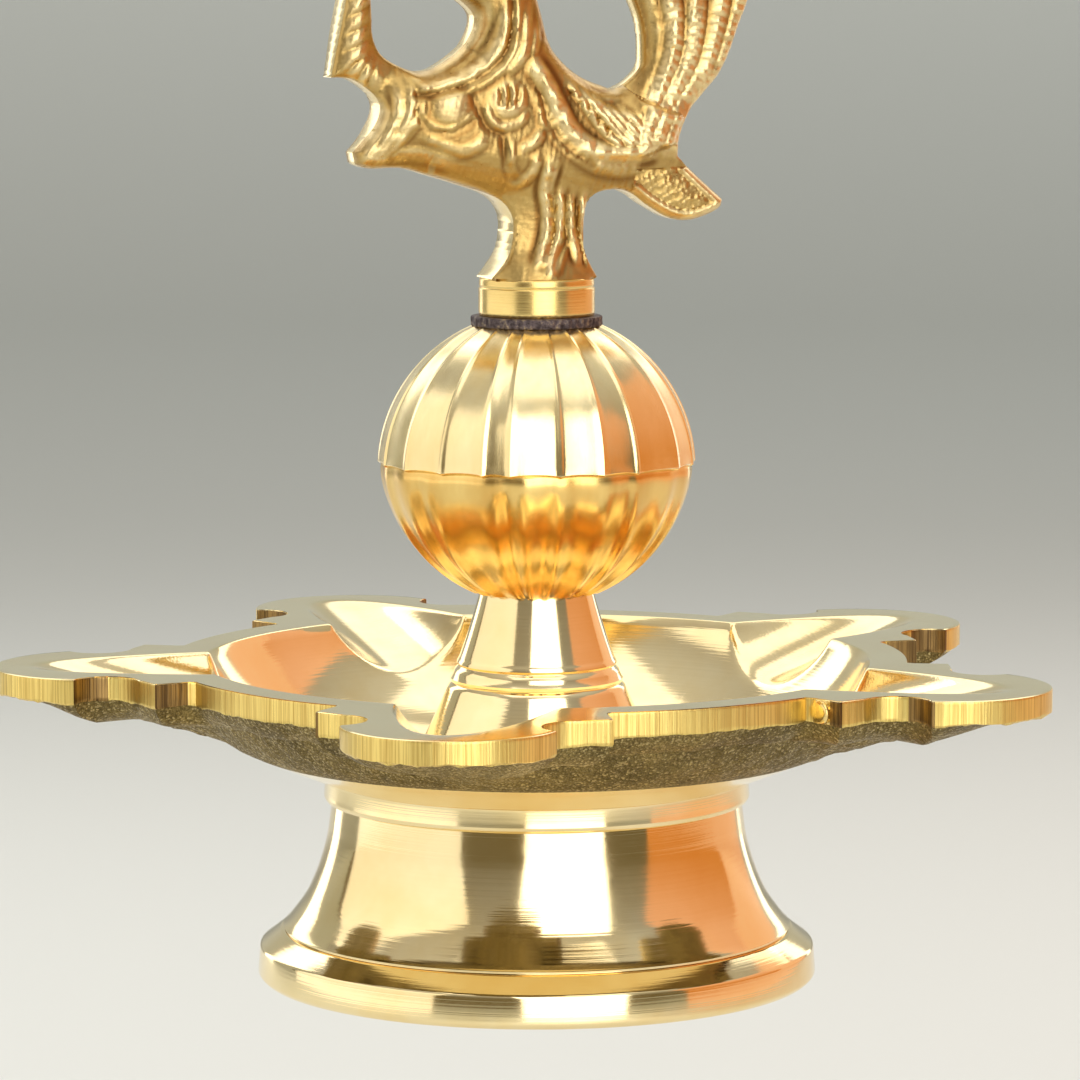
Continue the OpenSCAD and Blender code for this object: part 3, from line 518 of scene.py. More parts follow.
def dish():
    edge, middle, ring, dark = dish_outline()
    cols = len(edge)
    rows, kinds = [], []

    def add(xy, z, kind):
        rows.append(np.concatenate([xy, np.broadcast_to(z, (cols,))[:, None]], 1))
        kinds.append(kind)

    def between(radius, share):
        """Points part of the way from a circle to the outline."""
        return (1 - share) ** 2 * ring * radius + 2 * share * (1 - share) * middle + share**2 * edge

    def top(xy):
        cut = soft_min(bowl(np.hypot(*xy.T), 0), channel(*xy.T, CHANNEL_R), 0.5)
        return soft_min(cut, RIM_Z + 0.02, 0.25)

    def under(xy, rough):
        x, y = xy.T
        bulge = np.maximum(channel(x, y, CHANNEL_R + WALL), bowl(WELL_R - BULGE_LAP, WALL))
        z = soft_min(soft_min(bowl(np.hypot(x, y), WALL), bulge, 1.5), RIM_Z - RIM_T, 0.6)
        return z + rough * (0.22 * lumps(x, y, 5.3) + 0.08 * lumps(y, x, 1.9))

    def far_from(place, lobe):
        return np.hypot(*(edge - turned(place, LOBES[lobe])).T)

    add(ring * BORE_R, FLOOR_Z, BOWL)
    for r in np.concatenate([[15.5, 17.0], np.linspace(WELL_FLOOR_R, WELL_R, 44)]):
        add(ring * r, top(ring * r), BOWL)
    for share in np.linspace(0, 0.985, 42)[1:]:
        add(between(WELL_R, share), top(between(WELL_R, share)), BOWL)

    inward = middle - edge
    inward /= np.linalg.norm(inward, axis=1)[:, None]
    nub = far_from(NUB, NUB_LOBE)
    spur = np.exp(-((far_from(SPUR, SPUR_LOBE) / SPUR_R) ** 2))
    x, y = edge.T
    low = RIM_Z - RIM_T + 0.15 + 0.24 * lumps(x, y, 11.0) + 0.06 * lumps(y, x, 2.4) + SPUR_RISE * spur
    add(edge + inward * BROKEN, RIM_Z, FLAT)
    add(edge + inward * 0.05, RIM_Z - 0.07, EDGE)
    for share in np.linspace(0, 1, 19):
        down = (RIM_Z - BROKEN - low) * share
        stand = -np.sqrt(np.maximum(NUB_R**2 - nub**2 - (down - NUB_R) ** 2, 0))
        add(edge + inward * stand[:, None], RIM_Z - BROKEN - down, EDGE)

    for share in np.linspace(0.985, 0, 40):
        xy = between(SKIN_R, share)
        away = np.hypot(*(edge - xy).T)
        out = np.clip((SWELL_END - lobe_place(*xy.T)[0]) / SWELL_EASE, 0, 1)
        swell = SWELL * out * (1 - np.exp(-away / SWELL_RUN)) + SPUR_RISE * spur * (1 - np.exp(-away / 0.4))
        add(xy, np.minimum(under(xy, 1), low - swell), SKIN)
    border, border_z = TURNED[0]
    lift = DISH_Z + border_z - under(ring * border, 0)
    for share in np.linspace(0.02, 1, 18):
        xy = ring * (SKIN_R + (border - SKIN_R) * share)
        add(xy, under(xy, 1 - share**4) + lift * share**2, SKIN)
    slopes = [np.linspace(start, end, 9)[1:] for start, end in zip(TURNED[:-1], TURNED[1:])]
    for r, z in [*np.concatenate(slopes), *rounded(SEAT)[1:], (BORE_R, 0)]:
        add(ring * r, DISH_Z + z, BOWL)

    verts, faces = closed_rows(np.concatenate(rows), len(rows))
    kind = np.repeat(kinds, cols)
    kind[(kind == BOWL) & (verts[faces][:, :, 2].mean(1) > RIM_Z - 0.12)] = FLAT
    # Painted shade on the notch stretches of the edge
    kind[(kind == EDGE) & np.tile(dark, len(rows))] = NOTCH
    kind[np.isin(kind, (EDGE, NOTCH)) & np.tile(nub < NUB_R, len(rows))] = LUMP
    materials = [POLISHED, LAPPED, FILED, ROUGH, NOTCH_SHADE, SATIN]
    piece("dish_cast", (verts, faces), "lamp", "dish", materials, kind, 40)


# Stem


# Radius at the base and the top, how far the waist draws in, and the heights of the turned lines
STEM_BASE_R, STEM_TOP_R, WAIST_IN, STEM_LINES = 16.5, 6.85, 0.9, (12.2, 14.2)


def stem():
    height = STEM_TOP_Z - FLOOR_Z
    z = np.linspace(0, height, 90)
    r = STEM_BASE_R + (STEM_TOP_R - STEM_BASE_R) * z / height - WAIST_IN * 4 * (z / height) * (1 - z / height)
    for line in STEM_LINES:
        r -= 0.28 * np.exp(-(((z - line) / 0.22) ** 2)) - 0.1 * np.exp(-(((z - line - 0.5) / 0.25) ** 2))
    profile = [*zip(r, z), (BORE_R, height), (BORE_R, 0)]
    piece("stem_turned", lathe(profile, FLOOR_Z, 224), "lamp", "stem", [POLISHED])


# Ball

FLUTES, FLUTE_STEPS = 22, 36
BALL_SEAM_R, BALL_FLAT_R, BALL_WALL, SPIGOT_Z = 18.95, 7.7, 2.6, -0.6
# The upper half's lip at the seam: height, rounding and waves. The lower half stands back from it.
LIP_H, LIP_ROUND, LIP_WAVE, STEP_BACK = 1.5, 0.3, 0.24, 0.3
# The thin ridges between the upper flutes: height and width as a share of half a flute
RIDGE, RIDGE_W = 0.13, 0.14


def ball_half(name, node, height, up, depth_of, seed, brass):
    """A fluted half shell from the seam to its flat. depth_of gives the flutes' depth at a share of the way."""
    centre = (BALL_FLAT_R**2 + height**2 - BALL_SEAM_R**2) / (2 * height)
    radius = math.hypot(BALL_SEAM_R, centre)
    cols = FLUTES * FLUTE_STEPS
    turn = np.arange(cols) / cols * 2 * math.pi
    within = (np.arange(cols) % FLUTE_STEPS) / FLUTE_STEPS * 2 - 1
    number = np.arange(cols) // FLUTE_STEPS
    uneven = 1 + 0.3 * (np.random.default_rng(seed).random(FLUTES)[number] - 0.5)
    wander = 0.05 * np.sin(3 * turn + seed) + 0.028 * np.sin(7 * turn + 2.1 * seed) + 0.02 * np.sin(13 * turn)
    hollow = 1 - within**2 if up else np.cos(math.pi / 2 * within) ** 2
    ridge = RIDGE * np.exp(-(((1 - np.abs(within)) / RIDGE_W) ** 2)) if up else 0.0
    rows = [] if up else [(BALL_SEAM_R - BALL_WALL, turn, SPIGOT_Z), (BALL_SEAM_R - 0.75, turn, SPIGOT_Z)]
    levels = np.concatenate([np.linspace(0, 2.0, 25), height * np.sin(np.linspace(0.125, math.pi / 2, 66))])
    for z in np.sort(levels):
        share = math.asin(min(z / height, 1)) * 2 / math.pi
        plain = math.sqrt(radius**2 - (z - centre) ** 2)
        lip = max(1 - z / LIP_H, 0)
        if up:
            inset = LIP_ROUND * max(1 - z / LIP_ROUND, 0) ** 2
            depth, raised = depth_of(share) * (1 - 0.55 * lip**2), LIP_WAVE * lip * hollow * uneven
        else:
            inset = STEP_BACK * math.exp(-z / 0.8)
            depth, raised = depth_of(share), 0.0
        lean = 0.015 * np.sin(5 * turn + seed) * share
        rows.append((plain - inset - depth * uneven * hollow + ridge, turn + wander + lean, z + raised))
    rows += [(BORE_R, turn, height), (BORE_R, turn, height - BALL_WALL)]
    for z in (height - BALL_WALL) * np.linspace(1, 0, 10):
        rows.append((math.sqrt((radius - BALL_WALL) ** 2 - (z - centre) ** 2), turn, z))
    side = 1 if up else -1
    verts = ring_points([(r, a, SEAM_Z + side * z) for r, a, z in rows])
    piece(name, closed_rows(verts, len(rows)), "lamp", node, [brass], angle=14 if up else 40)


def ball():
    ball_half("ball_upper_fluted", "ball_upper", BALL_TOP_Z - SEAM_Z, True,
              lambda s: 0.19 * (1 - 0.4 * s), 3, BRUSHED)
    ball_half("ball_lower_fluted", "ball_lower", SEAM_Z - STEM_TOP_Z, False,
              lambda s: 0.16 + 0.5 * min(s / 0.6, 1), 8, WARM)


def neck_washer():
    profile = rounded([(BORE_R, 0), (7.8, 0, 0.25), (7.8, 1.2, 0.25), (BORE_R, 1.2)], 5)
    verts, faces = lathe(profile, WASHER_Z, 240)
    x, y, z = verts.T
    a = np.arctan2(y, x)
    worn = 0.010 * np.sin(31 * a) * np.sin(13 * a + 1) + 0.008 * np.sin(53 * a + 5 * z)
    verts[:, :2] *= 1 + np.where(np.hypot(x, y) > 6, worn, 0)[:, None]
    piece("neck_washer_rough", (verts, faces), "lamp", "neck_washer", [DARK])


# Bird, drawn in its own plane: x along the lamp's X axis and height above its collar's underside

OUTLINE = [(-5.9, 1.5), (-5.9, 1.5), (-5.9, 4.2), (-5.9, 4.2), (-6.6, 4.6), (-6.6, 4.6), (-4.6, 7.2), (-3.9, 10),
           (-4.2, 12.4), (-6, 14.3), (-10.2, 15.8), (-13.8, 16.9), (-17.2, 17.8), (-21.1, 17.8), (-22.8, 18.3),
           (-22.8, 18.3), (-23.1, 19.7), (-23.1, 19.7), (-20.9, 22.3), (-19.9, 24.6), (-20.5, 26.3), (-22.4, 27.8),
           (-23.8, 28.4), (-25.8, 28.5), (-25.8, 28.5), (-25, 33), (-24.1, 37.6), (-23.7, 40.6), (-23.4, 43.4),
           (-22.4, 45.4), (-19.8, 47.4), (-17.2, 49.4), (-15, 52.2), (-12.4, 54.4), (-10.2, 55.8), (-9.8, 59.2),
           (-8.6, 63.2), (-6.2, 67), (-4.2, 69.4), (-4.2, 72), (-4.2, 72), (4.2, 72), (4.2, 72), (5.2, 70.6),
           (10.4, 68.6), (16, 65), (21, 59.8), (24.8, 53.4), (26.6, 46.4), (26.6, 41), (26, 37.4), (24.8, 34.3),
           (23.7, 31.1), (22.3, 28.4), (20.4, 26.2), (18.1, 23.5), (17, 20.8), (16.9, 19), (16.9, 19), (18.9, 17.1),
           (21.6, 14.7), (22.9, 13.6), (22.9, 13.6), (22.3, 12.4), (19.1, 11.2), (16.3, 11.4), (13.3, 13),
           (11.3, 14.4), (9.3, 15), (6.8, 14.7), (5.4, 13.7), (4.9, 12), (4.8, 9.5), (5.1, 7.4), (6.6, 4.6),
           (6.6, 4.6), (5.9, 4.2), (5.9, 4.2), (5.9, 1.5), (5.9, 1.5)]
LEFT_HOLE = [(-20.7, 35.5), (-20.6, 33.1), (-19.5, 31), (-16.5, 29.4), (-14.2, 29.2), (-11.9, 30.2), (-9.2, 32.4),
             (-8.1, 35.4), (-9.9, 37.5), (-12.4, 39.3), (-15.4, 41.4), (-18.2, 42.6), (-20.2, 41.4), (-20.8, 38.6)]
RIGHT_HOLE = [(12.8, 31.5), (12.4, 29.2), (9.6, 27), (7.4, 27.4), (4.8, 28.5), (2.6, 30.2), (1, 32.3), (0.1, 35.4),
              (-0.5, 37.5), (-1.7, 41.5), (-2.8, 45.5), (-3.4, 49), (-3.2, 52.5), (-2.2, 56.4), (0.2, 59),
              (3.4, 58.6), (5.8, 55.4), (7.4, 51), (8.6, 46), (9.8, 41.6), (11.5, 37.5), (12.5, 34.7)]
# Limbs: stations of x, height, half width and half thickness
LIMBS = [
    [(-23.5, 18.6, 2.4, 2.6), (-20, 20.8, 4.4, 3.6), (-15.5, 23.2, 7, 5), (-10, 23.4, 8.6, 6.2), (-3, 23, 9.4, 6.7),
     (4, 21.4, 8.2, 6.4), (10, 20.6, 6.6, 5.2), (16, 21.2, 4.6, 3.6)],
    [(-4, 24, 8, 6), (-4, 30.5, 6, 5.4), (-4.4, 35.2, 5, 4.8), (-5.8, 39.5, 5.2, 4.8), (-8.2, 44, 6, 5),
     (-9.6, 48, 6.6, 5.2)],
    [(-6, 48.5, 5.4, 4.2), (-9.8, 48.6, 6.6, 5.4), (-13.6, 47.6, 5.2, 4.8), (-17.2, 45.8, 3.4, 3.8),
     (-20.6, 43.8, 2.2, 3.4)],
    [(0, 3.6, 7.4, 6.9), (0.1, 5.4, 7, 6), (0.4, 8.4, 6.4, 4.4), (0.5, 12.6, 6.8, 4.4), (0.4, 17, 8.4, 5.4)],
    [(-9.6, 54, 3.4, 3.8), (-7.6, 59.4, 4, 3.6), (-4.4, 64.2, 4.6, 3.8), (0, 68.6, 5.4, 4.2)],
]
WING = [(-2, 31.2, 2, 1), (1.2, 28, 4.2, 2.2), (5.2, 24.4, 4.8, 2.6), (9.8, 22.4, 4, 2.4), (15.6, 22.2, 1.8, 1.5)]
TAIL_INNER = [(8.6, 20.4), (11.4, 25.4), (13.4, 31), (13, 35), (11.8, 38.4), (10.2, 42.4), (9, 46.6), (7.9, 51.2),
              (6.2, 56), (3.2, 61.6)]
TAIL_OUTER = [(16, 18.2), (18.4, 23.2), (22.5, 28.4), (24.8, 34), (26, 38), (26.6, 42.6), (26.4, 48), (24.6, 54),
              (20.4, 60.6), (9.6, 68.6)]
# Raised strands: half width, height, spacing of the notches across them (0 for none), and the points they run through
STRANDS = [
    (0.75, 0.7, 0, [(-19.9, 26.2), (-20, 23.5), (-21.2, 20.9), (-22.5, 18.4)]),
    (0.75, 0.75, 0, [(-18.2, 27.6), (-18.4, 24.1), (-19.9, 21.3), (-22.1, 18.2)]),
    (0.75, 0.7, 0, [(-16.9, 27.8), (-17, 24.9), (-18.4, 22.1), (-21.5, 18.1)]),
    (0.7, 0.6, 0, [(-15.8, 26.6), (-16, 24.3), (-17.7, 21.9), (-20.7, 18.1)]),
    (0.9, 0.45, 0, [(-7.2, 38), (-7.3, 35.6), (-8.4, 32.8), (-10.7, 30.4), (-13.8, 29), (-16.8, 28.4)]),
    (0.95, 0.8, 0, [(-5, 38), (-5.6, 33.6), (-7.4, 30.6), (-10.3, 28.7), (-13.4, 27.7), (-16.1, 27.4)]),
    (0.75, 0.65, 0, [(-3.8, 38), (-4.2, 32.8), (-5.8, 30), (-8.4, 28.3), (-10.9, 27.3)]),
    (0.75, 0.6, 0, [(-2.6, 37.2), (-2.9, 32.8), (-3.9, 30.6), (-5.9, 29.1)]),
    (0.6, 0.5, 0, [(-1.4, 35.6), (-1.5, 33.2), (-2.4, 30.8)]),
    (0.6, 0.5, 0, [(-16.6, 25.3), (-15.4, 23.2), (-13.2, 22.2), (-10.7, 23.1), (-9.7, 24.5)]),
    (0.7, 0.45, 0, [(-15.9, 22.1), (-13.5, 20.7), (-11, 19.9), (-8.9, 20.8), (-8.1, 21.9)]),
    (0.8, 0.4, 0, [(-21.5, 18.6), (-17.8, 19.6), (-14.4, 19.3), (-11.4, 18.1)]),
    (0.55, 0.5, 0, [(-7.3, 26.4), (-7.7, 24.3), (-6.4, 22.8), (-4.2, 23.2), (-3, 24.5)]),
    (0.55, 0.5, 0, [(-5.2, 21.7), (-5, 19.7), (-5.2, 18.1), (-4.2, 16.3)]),
    (0.6, 0.55, 0, [(-4.2, 18.7), (-3.6, 20.1), (-2, 21.1), (-1, 22.7)]),
    (0.6, 0.55, 0, [(-4.8, 16.3), (-3.4, 16.3), (-2.2, 17.6), (-1.9, 19.5)]),
    (0.55, 0.55, 0, [(-0.2, 26.1), (-1.2, 24.3), (-0.8, 22.1)]),
    (1, 1.25, 0, [(-2.7, 30.6), (-0.9, 28.2), (0.8, 24.9), (2.9, 21.6), (5.8, 19.7), (9.5, 19.2), (13.9, 19.9)]),
    (0.95, 0.6, 1.1, [(-1.7, 27.3), (-0.5, 24.1), (1.6, 21), (4.9, 18.6), (8.3, 17.7), (11.6, 17.9)]),
    (0.52, 0.95, 0, [(2.2, 28.4), (3.9, 25.7), (6.2, 22.5), (9.1, 19.9)]),
    (0.52, 0.95, 0, [(3.5, 27.6), (5.6, 25.1), (8.1, 22.1), (10.6, 19.8)]),
    (0.52, 0.95, 0, [(4.9, 26.4), (7.2, 24.3), (9.5, 21.7), (11.9, 19.8)]),
    (0.52, 0.95, 0, [(6.7, 25.3), (8.9, 23.5), (11, 21.3), (12.9, 19.9)]),
    (0.52, 0.95, 0, [(8.3, 24.9), (10.6, 23.1), (12.4, 21.1), (13.9, 20.1)]),
    (0.6, 0.6, 0, [(10, 25.1), (11.9, 23.1), (13.5, 21.3), (14.6, 20.4)]),
    (0.55, 0.55, 0, [(11.4, 26.1), (12.8, 24.1), (14.1, 22.1), (15, 21)]),
    (0.55, 0.45, 0, [(1.6, 28.9), (3.5, 27.6), (5.8, 26.1), (7.8, 25.9), (9.5, 26.6)]),
    (0.8, 1.25, 0, [(0.2, 19.3), (-0.5, 15.7), (0, 12.6), (-0.2, 9.4), (-1.5, 5.7)]),
    (0.7, 1.2, 0, [(1.2, 15.7), (1.6, 12.2), (1.3, 9), (-0.5, 4.9)]),
    (0.8, 0.95, 1.5, [(2.7, 14.9), (3, 11), (4.2, 6.2)]),
    (0.6, 1.1, 0, [(4.5, 14.9), (4.5, 10.6), (5.5, 5.9)]),
    (0.5, 0.45, 0, [(2.7, 8.8), (1.4, 7), (0.4, 4.9)]),
    (0.6, 0.55, 0, [(-16, 51), (-13, 51.6), (-10.4, 53.2)]),
    (0.55, 0.5, 0, [(-21.6, 43.6), (-18, 45.6), (-15.2, 46.6)]),
    (0.7, 0.6, 0.9, [(-8.6, 54.6), (-7.6, 59.6), (-5, 64.2), (-2.2, 67.6)]),
    (0.7, 0.6, 0.9, [(-6.6, 53.6), (-5.6, 58.6), (-3.2, 62.6), (0.2, 65.6)]),
    (0.6, 0.6, 0.9, [(-4.8, 52.6), (-4, 57), (-1.8, 60.6), (1.6, 62.4)]),
    (0.5, 0.6, 0.8, [(-5.6, 50.6), (-4.9, 47.6), (-5.6, 44.6), (-8.6, 42.4)]),
]
# Cut lines: half width, depth, and the points they run through
GROOVES = [
    (0.45, 0.26, [(-9.8, 26.8), (-8.9, 24.3), (-7.8, 22.4), (-6.2, 21.6), (-5.8, 18.9), (-4.2, 16.3)]),
    (0.4, 0.35, [(-16.5, 24.7), (-14.8, 22.5), (-12.1, 22.2), (-9.8, 23.5)]),
    (0.45, 0.4, [(-4.4, 38), (-5.1, 32), (-7.6, 29), (-10.7, 27.5), (-14.2, 26.6), (-16.2, 26.4)]),
    (0.45, 0.3, [(0.3, 18.9), (-0.2, 15.7), (0.5, 12.6), (0.3, 9.6), (-1.2, 6.2)]),
    (0.4, 0.3, [(1.8, 15.3), (2.2, 12.2), (1.9, 9), (0.2, 6.2)]),
    (0.4, 0.3, [(3.6, 14.5), (3.8, 10.6), (4.8, 6.4)]),
    (0.45, 0.3, [(-1.4, 28.6), (-0.7, 24.3), (1.3, 20.8), (5, 18.1)]),
    (0.35, 0.4, [(-6.4, 27.5), (-6.2, 26.4), (-6.3, 25.4)]),
    (0.35, 0.48, [(-5.3, 27.8), (-5.2, 26.5), (-5.3, 25.2)]),
    (0.35, 0.4, [(-4.2, 27.5), (-4.1, 26.5), (-4.3, 25.5)]),
]
# Half thickness of the figure's edge at places of its outline: x, height and half thickness
EDGES = [(-24.2, 36, 2.4), (-20.3, 25, 1.8), (-22.8, 19, 1.2), (-12, 16.5, 1.5), (-5, 9, 3.1), (6, 9, 3.1),
         (18, 12.5, 1.6), (25, 40, 1.6), (18, 63, 1.6), (-10, 58, 2), (-18, 48, 1.8), (-9, 34, 1), (-15, 29.5, 1),
         (-15, 41, 1), (-20.5, 36, 1.2), (12.4, 32, 1), (6, 27.6, 1), (0, 36, 1), (-3, 50, 1), (8.5, 46, 1),
         (3, 59, 1)]
# Where the tail's four feathers and its edge lie between its inner and outer lines
FEATHERS, FEATHER_EDGE = (0.27, 0.5, 0.73, 0.94), 0.09
VINE = [(-22.6, 44), (-22.5, 38), (-23, 33), (-23.2, 30), (-21.4, 28.2)]
# Round pads on the breast and the eye: x, height, radius, rise and the power of their crown
PADS = [(-12.2, 25.3, 2.6, 0.5, 1.3), (-5.3, 25.9, 2.5, 0.6, 1.1), (-10.6, 48.9, 1.5, 0.8, 0.5)]
# Half thickness of the plate between the limbs and of the thin tongue, height of the wing's root over the middle
# plane, rounding of the edge, and wear of the relief
PLATE_HALF, TONGUE_HALF, WING_ROOT, ROUND_R, WORN = 2.9, 3.0, 4.3, 4.5, 0.62
COLLAR_R, COLLAR_H = 6.95, 4.5
COLLAR = [(BORE_R, 0), (COLLAR_R - 0.1, 0, 0.15), (COLLAR_R, 0.5, 0.1), (COLLAR_R, 3.3, 0.1),
          (COLLAR_R - 0.15, 3.45, 0.05), (COLLAR_R - 0.05, 3.7, 0.1), (COLLAR_R - 0.1, COLLAR_H, 0.3), (5.6, 4.9),
          (BORE_R, 4.9)]
BOSS = [(2.1, 66), (3.9, 66.5), (4.5, 71.2, 0.3), (4.4, 72, 0.3), (2.1, 72)]


def along(line, points, reach):
    """Distance of points from a line of (x, height), and how far along it they lie. Those out of reach are skipped."""
    far = np.full(len(points), 1e9)
    at = np.zeros(len(points))
    low, high = line.min(0) - reach, line.max(0) + reach
    near = np.where(np.all((points > low) & (points < high), axis=1))[0]
    p, best, where = points[near], np.full(len(near), 1e9), np.zeros(len(near))
    start = 0.0
    for a, b in zip(line[:-1], line[1:]):
        run = b - a
        length = math.hypot(*run)
        if length < 1e-9:
            continue
        rel = p - a
        t = np.clip(rel @ run / length**2, 0, 1)
        d = np.hypot(rel[:, 0] - t * run[0], rel[:, 1] - t * run[1])
        closer = d < best
        best[closer] = d[closer]
        where[closer] = start + t[closer] * length
        start += length
    far[near], at[near] = best, where
    return far, at


def inside(loops, points):
    """Whether points lie within the outer loop and outside the holes."""
    odd = np.zeros(len(points), bool)
    x, y = points.T
    for loop in loops:
        for (x0, y0), (x1, y1) in zip(loop, np.roll(loop, -1, 0)):
            if y0 != y1:
                odd ^= ((y0 > y) != (y1 > y)) & (x < (x1 - x0) * (y - y0) / (y1 - y0) + x0)
    return odd


def nearest(loops, points):
    """Distance to the outline, and the place on it, for each point."""
    best, place = np.full(len(points), 1e9), np.zeros_like(points)
    for loop in loops:
        for a, b in zip(loop, np.roll(loop, -1, 0)):
            run = b - a
            t = np.clip((points - a) @ run / (run @ run), 0, 1)
            on = a + t[:, None] * run
            d = np.hypot(*(points - on).T)
            closer = d < best
            best[closer], place[closer] = d[closer], on[closer]
    return best, place


def swollen(stations, p, reach):
    """A limb's half thickness at points, and their distance from its middle as a share of its half width."""
    line = spline(stations)
    far, at = along(line[:, :2], p, reach)
    s = run_length(line[:, :2])
    q = np.minimum(far / np.interp(at, s, line[:, 2]), 1.2)
    return np.interp(at, s, line[:, 3]) * np.sqrt(np.maximum(1 - q**2, 0)), q


def bird_thickness(p, d):
    """Half thickness of the figure at points of its plane, and its colour's tone from 0 to 1: brighter on raised
    detail, with painted shade beside the strands and in the cut lines and dents.
    """
    px, py = p.T
    total, weight = 0.0, 0.0
    for x, h, half in EDGES:
        w = 1 / ((px - x) ** 2 + (py - h) ** 2 + 1) ** 2
        total, weight = total + w * half, weight + w
    edge = total / weight
    t = edge + (PLATE_HALF - edge) * (1 - np.exp(-d / 1.4))
    for limb in LIMBS:
        t = soft_max(t, swollen(limb, p, 10)[0], 0.7)
    rise, q = swollen(WING, p, 6)
    t = soft_max(t, WING_ROOT + rise - 4 * (q > 1.1), 0.4)
    near = np.minimum(d, ROUND_R)
    t = soft_min(t, edge + np.sqrt(2 * ROUND_R * near - near**2), 0.3)
    sunk = np.sqrt(np.maximum((COLLAR_R - 0.2) ** 2 - px**2, 0.04))
    t = np.where(py < COLLAR_H, np.minimum(t, sunk), t)

    detail, shade, groove = np.zeros((3, len(p)))
    wear = WORN * (0.85 + 0.3 * lumps(px, py, 3.4))

    def strand(points, half, height, notch):
        far, at = along(spline(points, steps=6), p, 2.4 * half)
        v = np.clip(far / (1.5 * half), 0, 1)
        rise = height * wear * np.cos(math.pi / 2 * v) ** 1.6
        if notch:
            rise *= 0.7 + 0.3 * np.abs(np.sin(math.pi * (at + 0.5 * v) / notch)) ** 0.7
        fading = np.clip((at.max() - at) / 1.2 + 0.15, 0, 1) * np.clip(at / 2.0 + 0.1, 0, 1)
        np.maximum(detail, fading * rise, out=detail)
        # Painted shade: a dark band along each side of a strand
        np.maximum(shade, fading * np.clip(1 - np.abs(far / half - 1.5) / 0.8, 0, 1) * min(height, 1), out=shade)

    for half, height, notch, points in STRANDS:
        strand(points, half, height, notch)
    inner, outer = np.asarray(TAIL_INNER), np.asarray(TAIL_OUTER)
    for share in FEATHERS:
        strand(inner + (outer - inner) * share, 1.15, 1.2, 1.1)
    strand(inner + (outer - inner) * FEATHER_EDGE, 0.8, 0.4, 0)
    far, at = along(spline(VINE, steps=6), p, 1.9)
    rope = 0.4 * np.clip(1.3 - far / 1.4, 0, 1) * np.abs(np.sin(math.pi * (at + 0.6 * px) / 1.9)) ** 0.7
    np.maximum(detail, np.where(far < 1.9, rope, 0), out=detail)
    for x, h, radius, height, power in PADS:
        r = np.hypot(px - x, (py - h) / 1.05) / radius
        np.maximum(detail, height * np.maximum(1 - r**2, 0) ** power, out=detail)

    tongue = (px > 11) & (py < 17.5)
    rim = 0.5 * np.clip(1 - ((d - 0.7) / 0.6) ** 2, 0, 1)
    np.maximum(detail, np.where(tongue, rim, 0), out=detail)
    detail += np.where(tongue & (d > 1.3), 0.22 * np.abs(lumps(px, py, 1.5)), 0)
    t = np.where(tongue, np.minimum(t, TONGUE_HALF), t)

    for half, depth, points in GROOVES:
        far, at = along(spline(points, steps=6), p, 2 * half)
        cut = depth * np.clip(1 - far / (1.6 * half), 0, 1) * np.clip(at + 0.2, 0, 1)
        np.maximum(groove, cut, out=groove)
    for k in range(9):
        dent = np.hypot(px - 2.6 - 0.55 * k - 0.5 * (k % 2), py - 26.6 + 0.62 * k)
        np.maximum(groove, 0.4 * np.clip(1 - dent / 0.42, 0, 1), out=groove)
    grain = 0.04 * lumps(px, py, 1.3) + 0.025 * lumps(py, px, 0.7)
    shade *= np.clip(1 - detail / 0.35, 0, 1)
    # Painted shade: the tone drops beside the strands and in the cut lines and dents
    tone_with_shade = 0.6 + 0.4 * np.clip(detail / 0.5, 0, 1) - 0.5 * shade - groove
    fade = np.clip(d / 0.6, 0, 1)
    return t + fade * (detail + grain - groove), np.maximum(tone_with_shade, np.where(d < 0.4, 0.6, 0))


def bird_figure(step=0.2):
    """Both faces of the figure over a grid fitted to its outline, with the flat parting walls between them."""
    loops = [spline(loop, True, 6) for loop in (OUTLINE, LEFT_HOLE, RIGHT_HOLE)]
    low, high = loops[0].min(0) - step, loops[0].max(0) + step
    shape = np.ceil((high - low) / step).astype(int) + 1
    p = low + np.moveaxis(np.indices(shape), 0, -1).reshape(-1, 2) * step
    within = inside(loops, p)
    d, on = nearest(loops, p)
    snapped = d < 0.55 * step
    p[snapped], d[snapped] = on[snapped], 0
    keep = within | snapped
    cell = grid_faces(*shape, wrap_cols=False)
    cell = cell[within[cell].any(1)]
    count = keep[cell].sum(1)
    quads, corners = cell[count == 4], cell[count == 3]
    tris = corners[keep[corners]].reshape(-1, 3)
    used = np.unique(np.concatenate([quads.ravel(), tris.ravel()]))
    index = np.zeros(len(p), int)
    index[used] = np.arange(len(used))
    faces = index[quads].tolist() + index[tris].tolist()
    edges = dict.fromkeys((a, b) for f in faces for a, b in zip(f, f[1:] + f[:1]))

    p, d = p[used], d[used]
    links = {i: set() for i in np.where((d > 0) & (d < 1.0))[0].tolist()}
    for edge in edges:
        for a, b in (edge, edge[::-1]):
            if a in links:
                links[a].add(b)
    for _ in range(3):
        for i, around in links.items():
            p[i] = 0.5 * p[i] + 0.5 * p[list(around)].mean(0)
    t, relief = bird_thickness(p, d)
    n = len(used)
    verts = np.concatenate([np.stack([p[:, 0], side * t, p[:, 1]], -1) for side in (-1, 1)])
    skin = faces + [[i + n for i in f[::-1]] for f in faces]
    walls = [[b, a, a + n, b + n] for a, b in edges if (b, a) not in edges]
    return verts, skin, walls, np.tile(relief, 2)


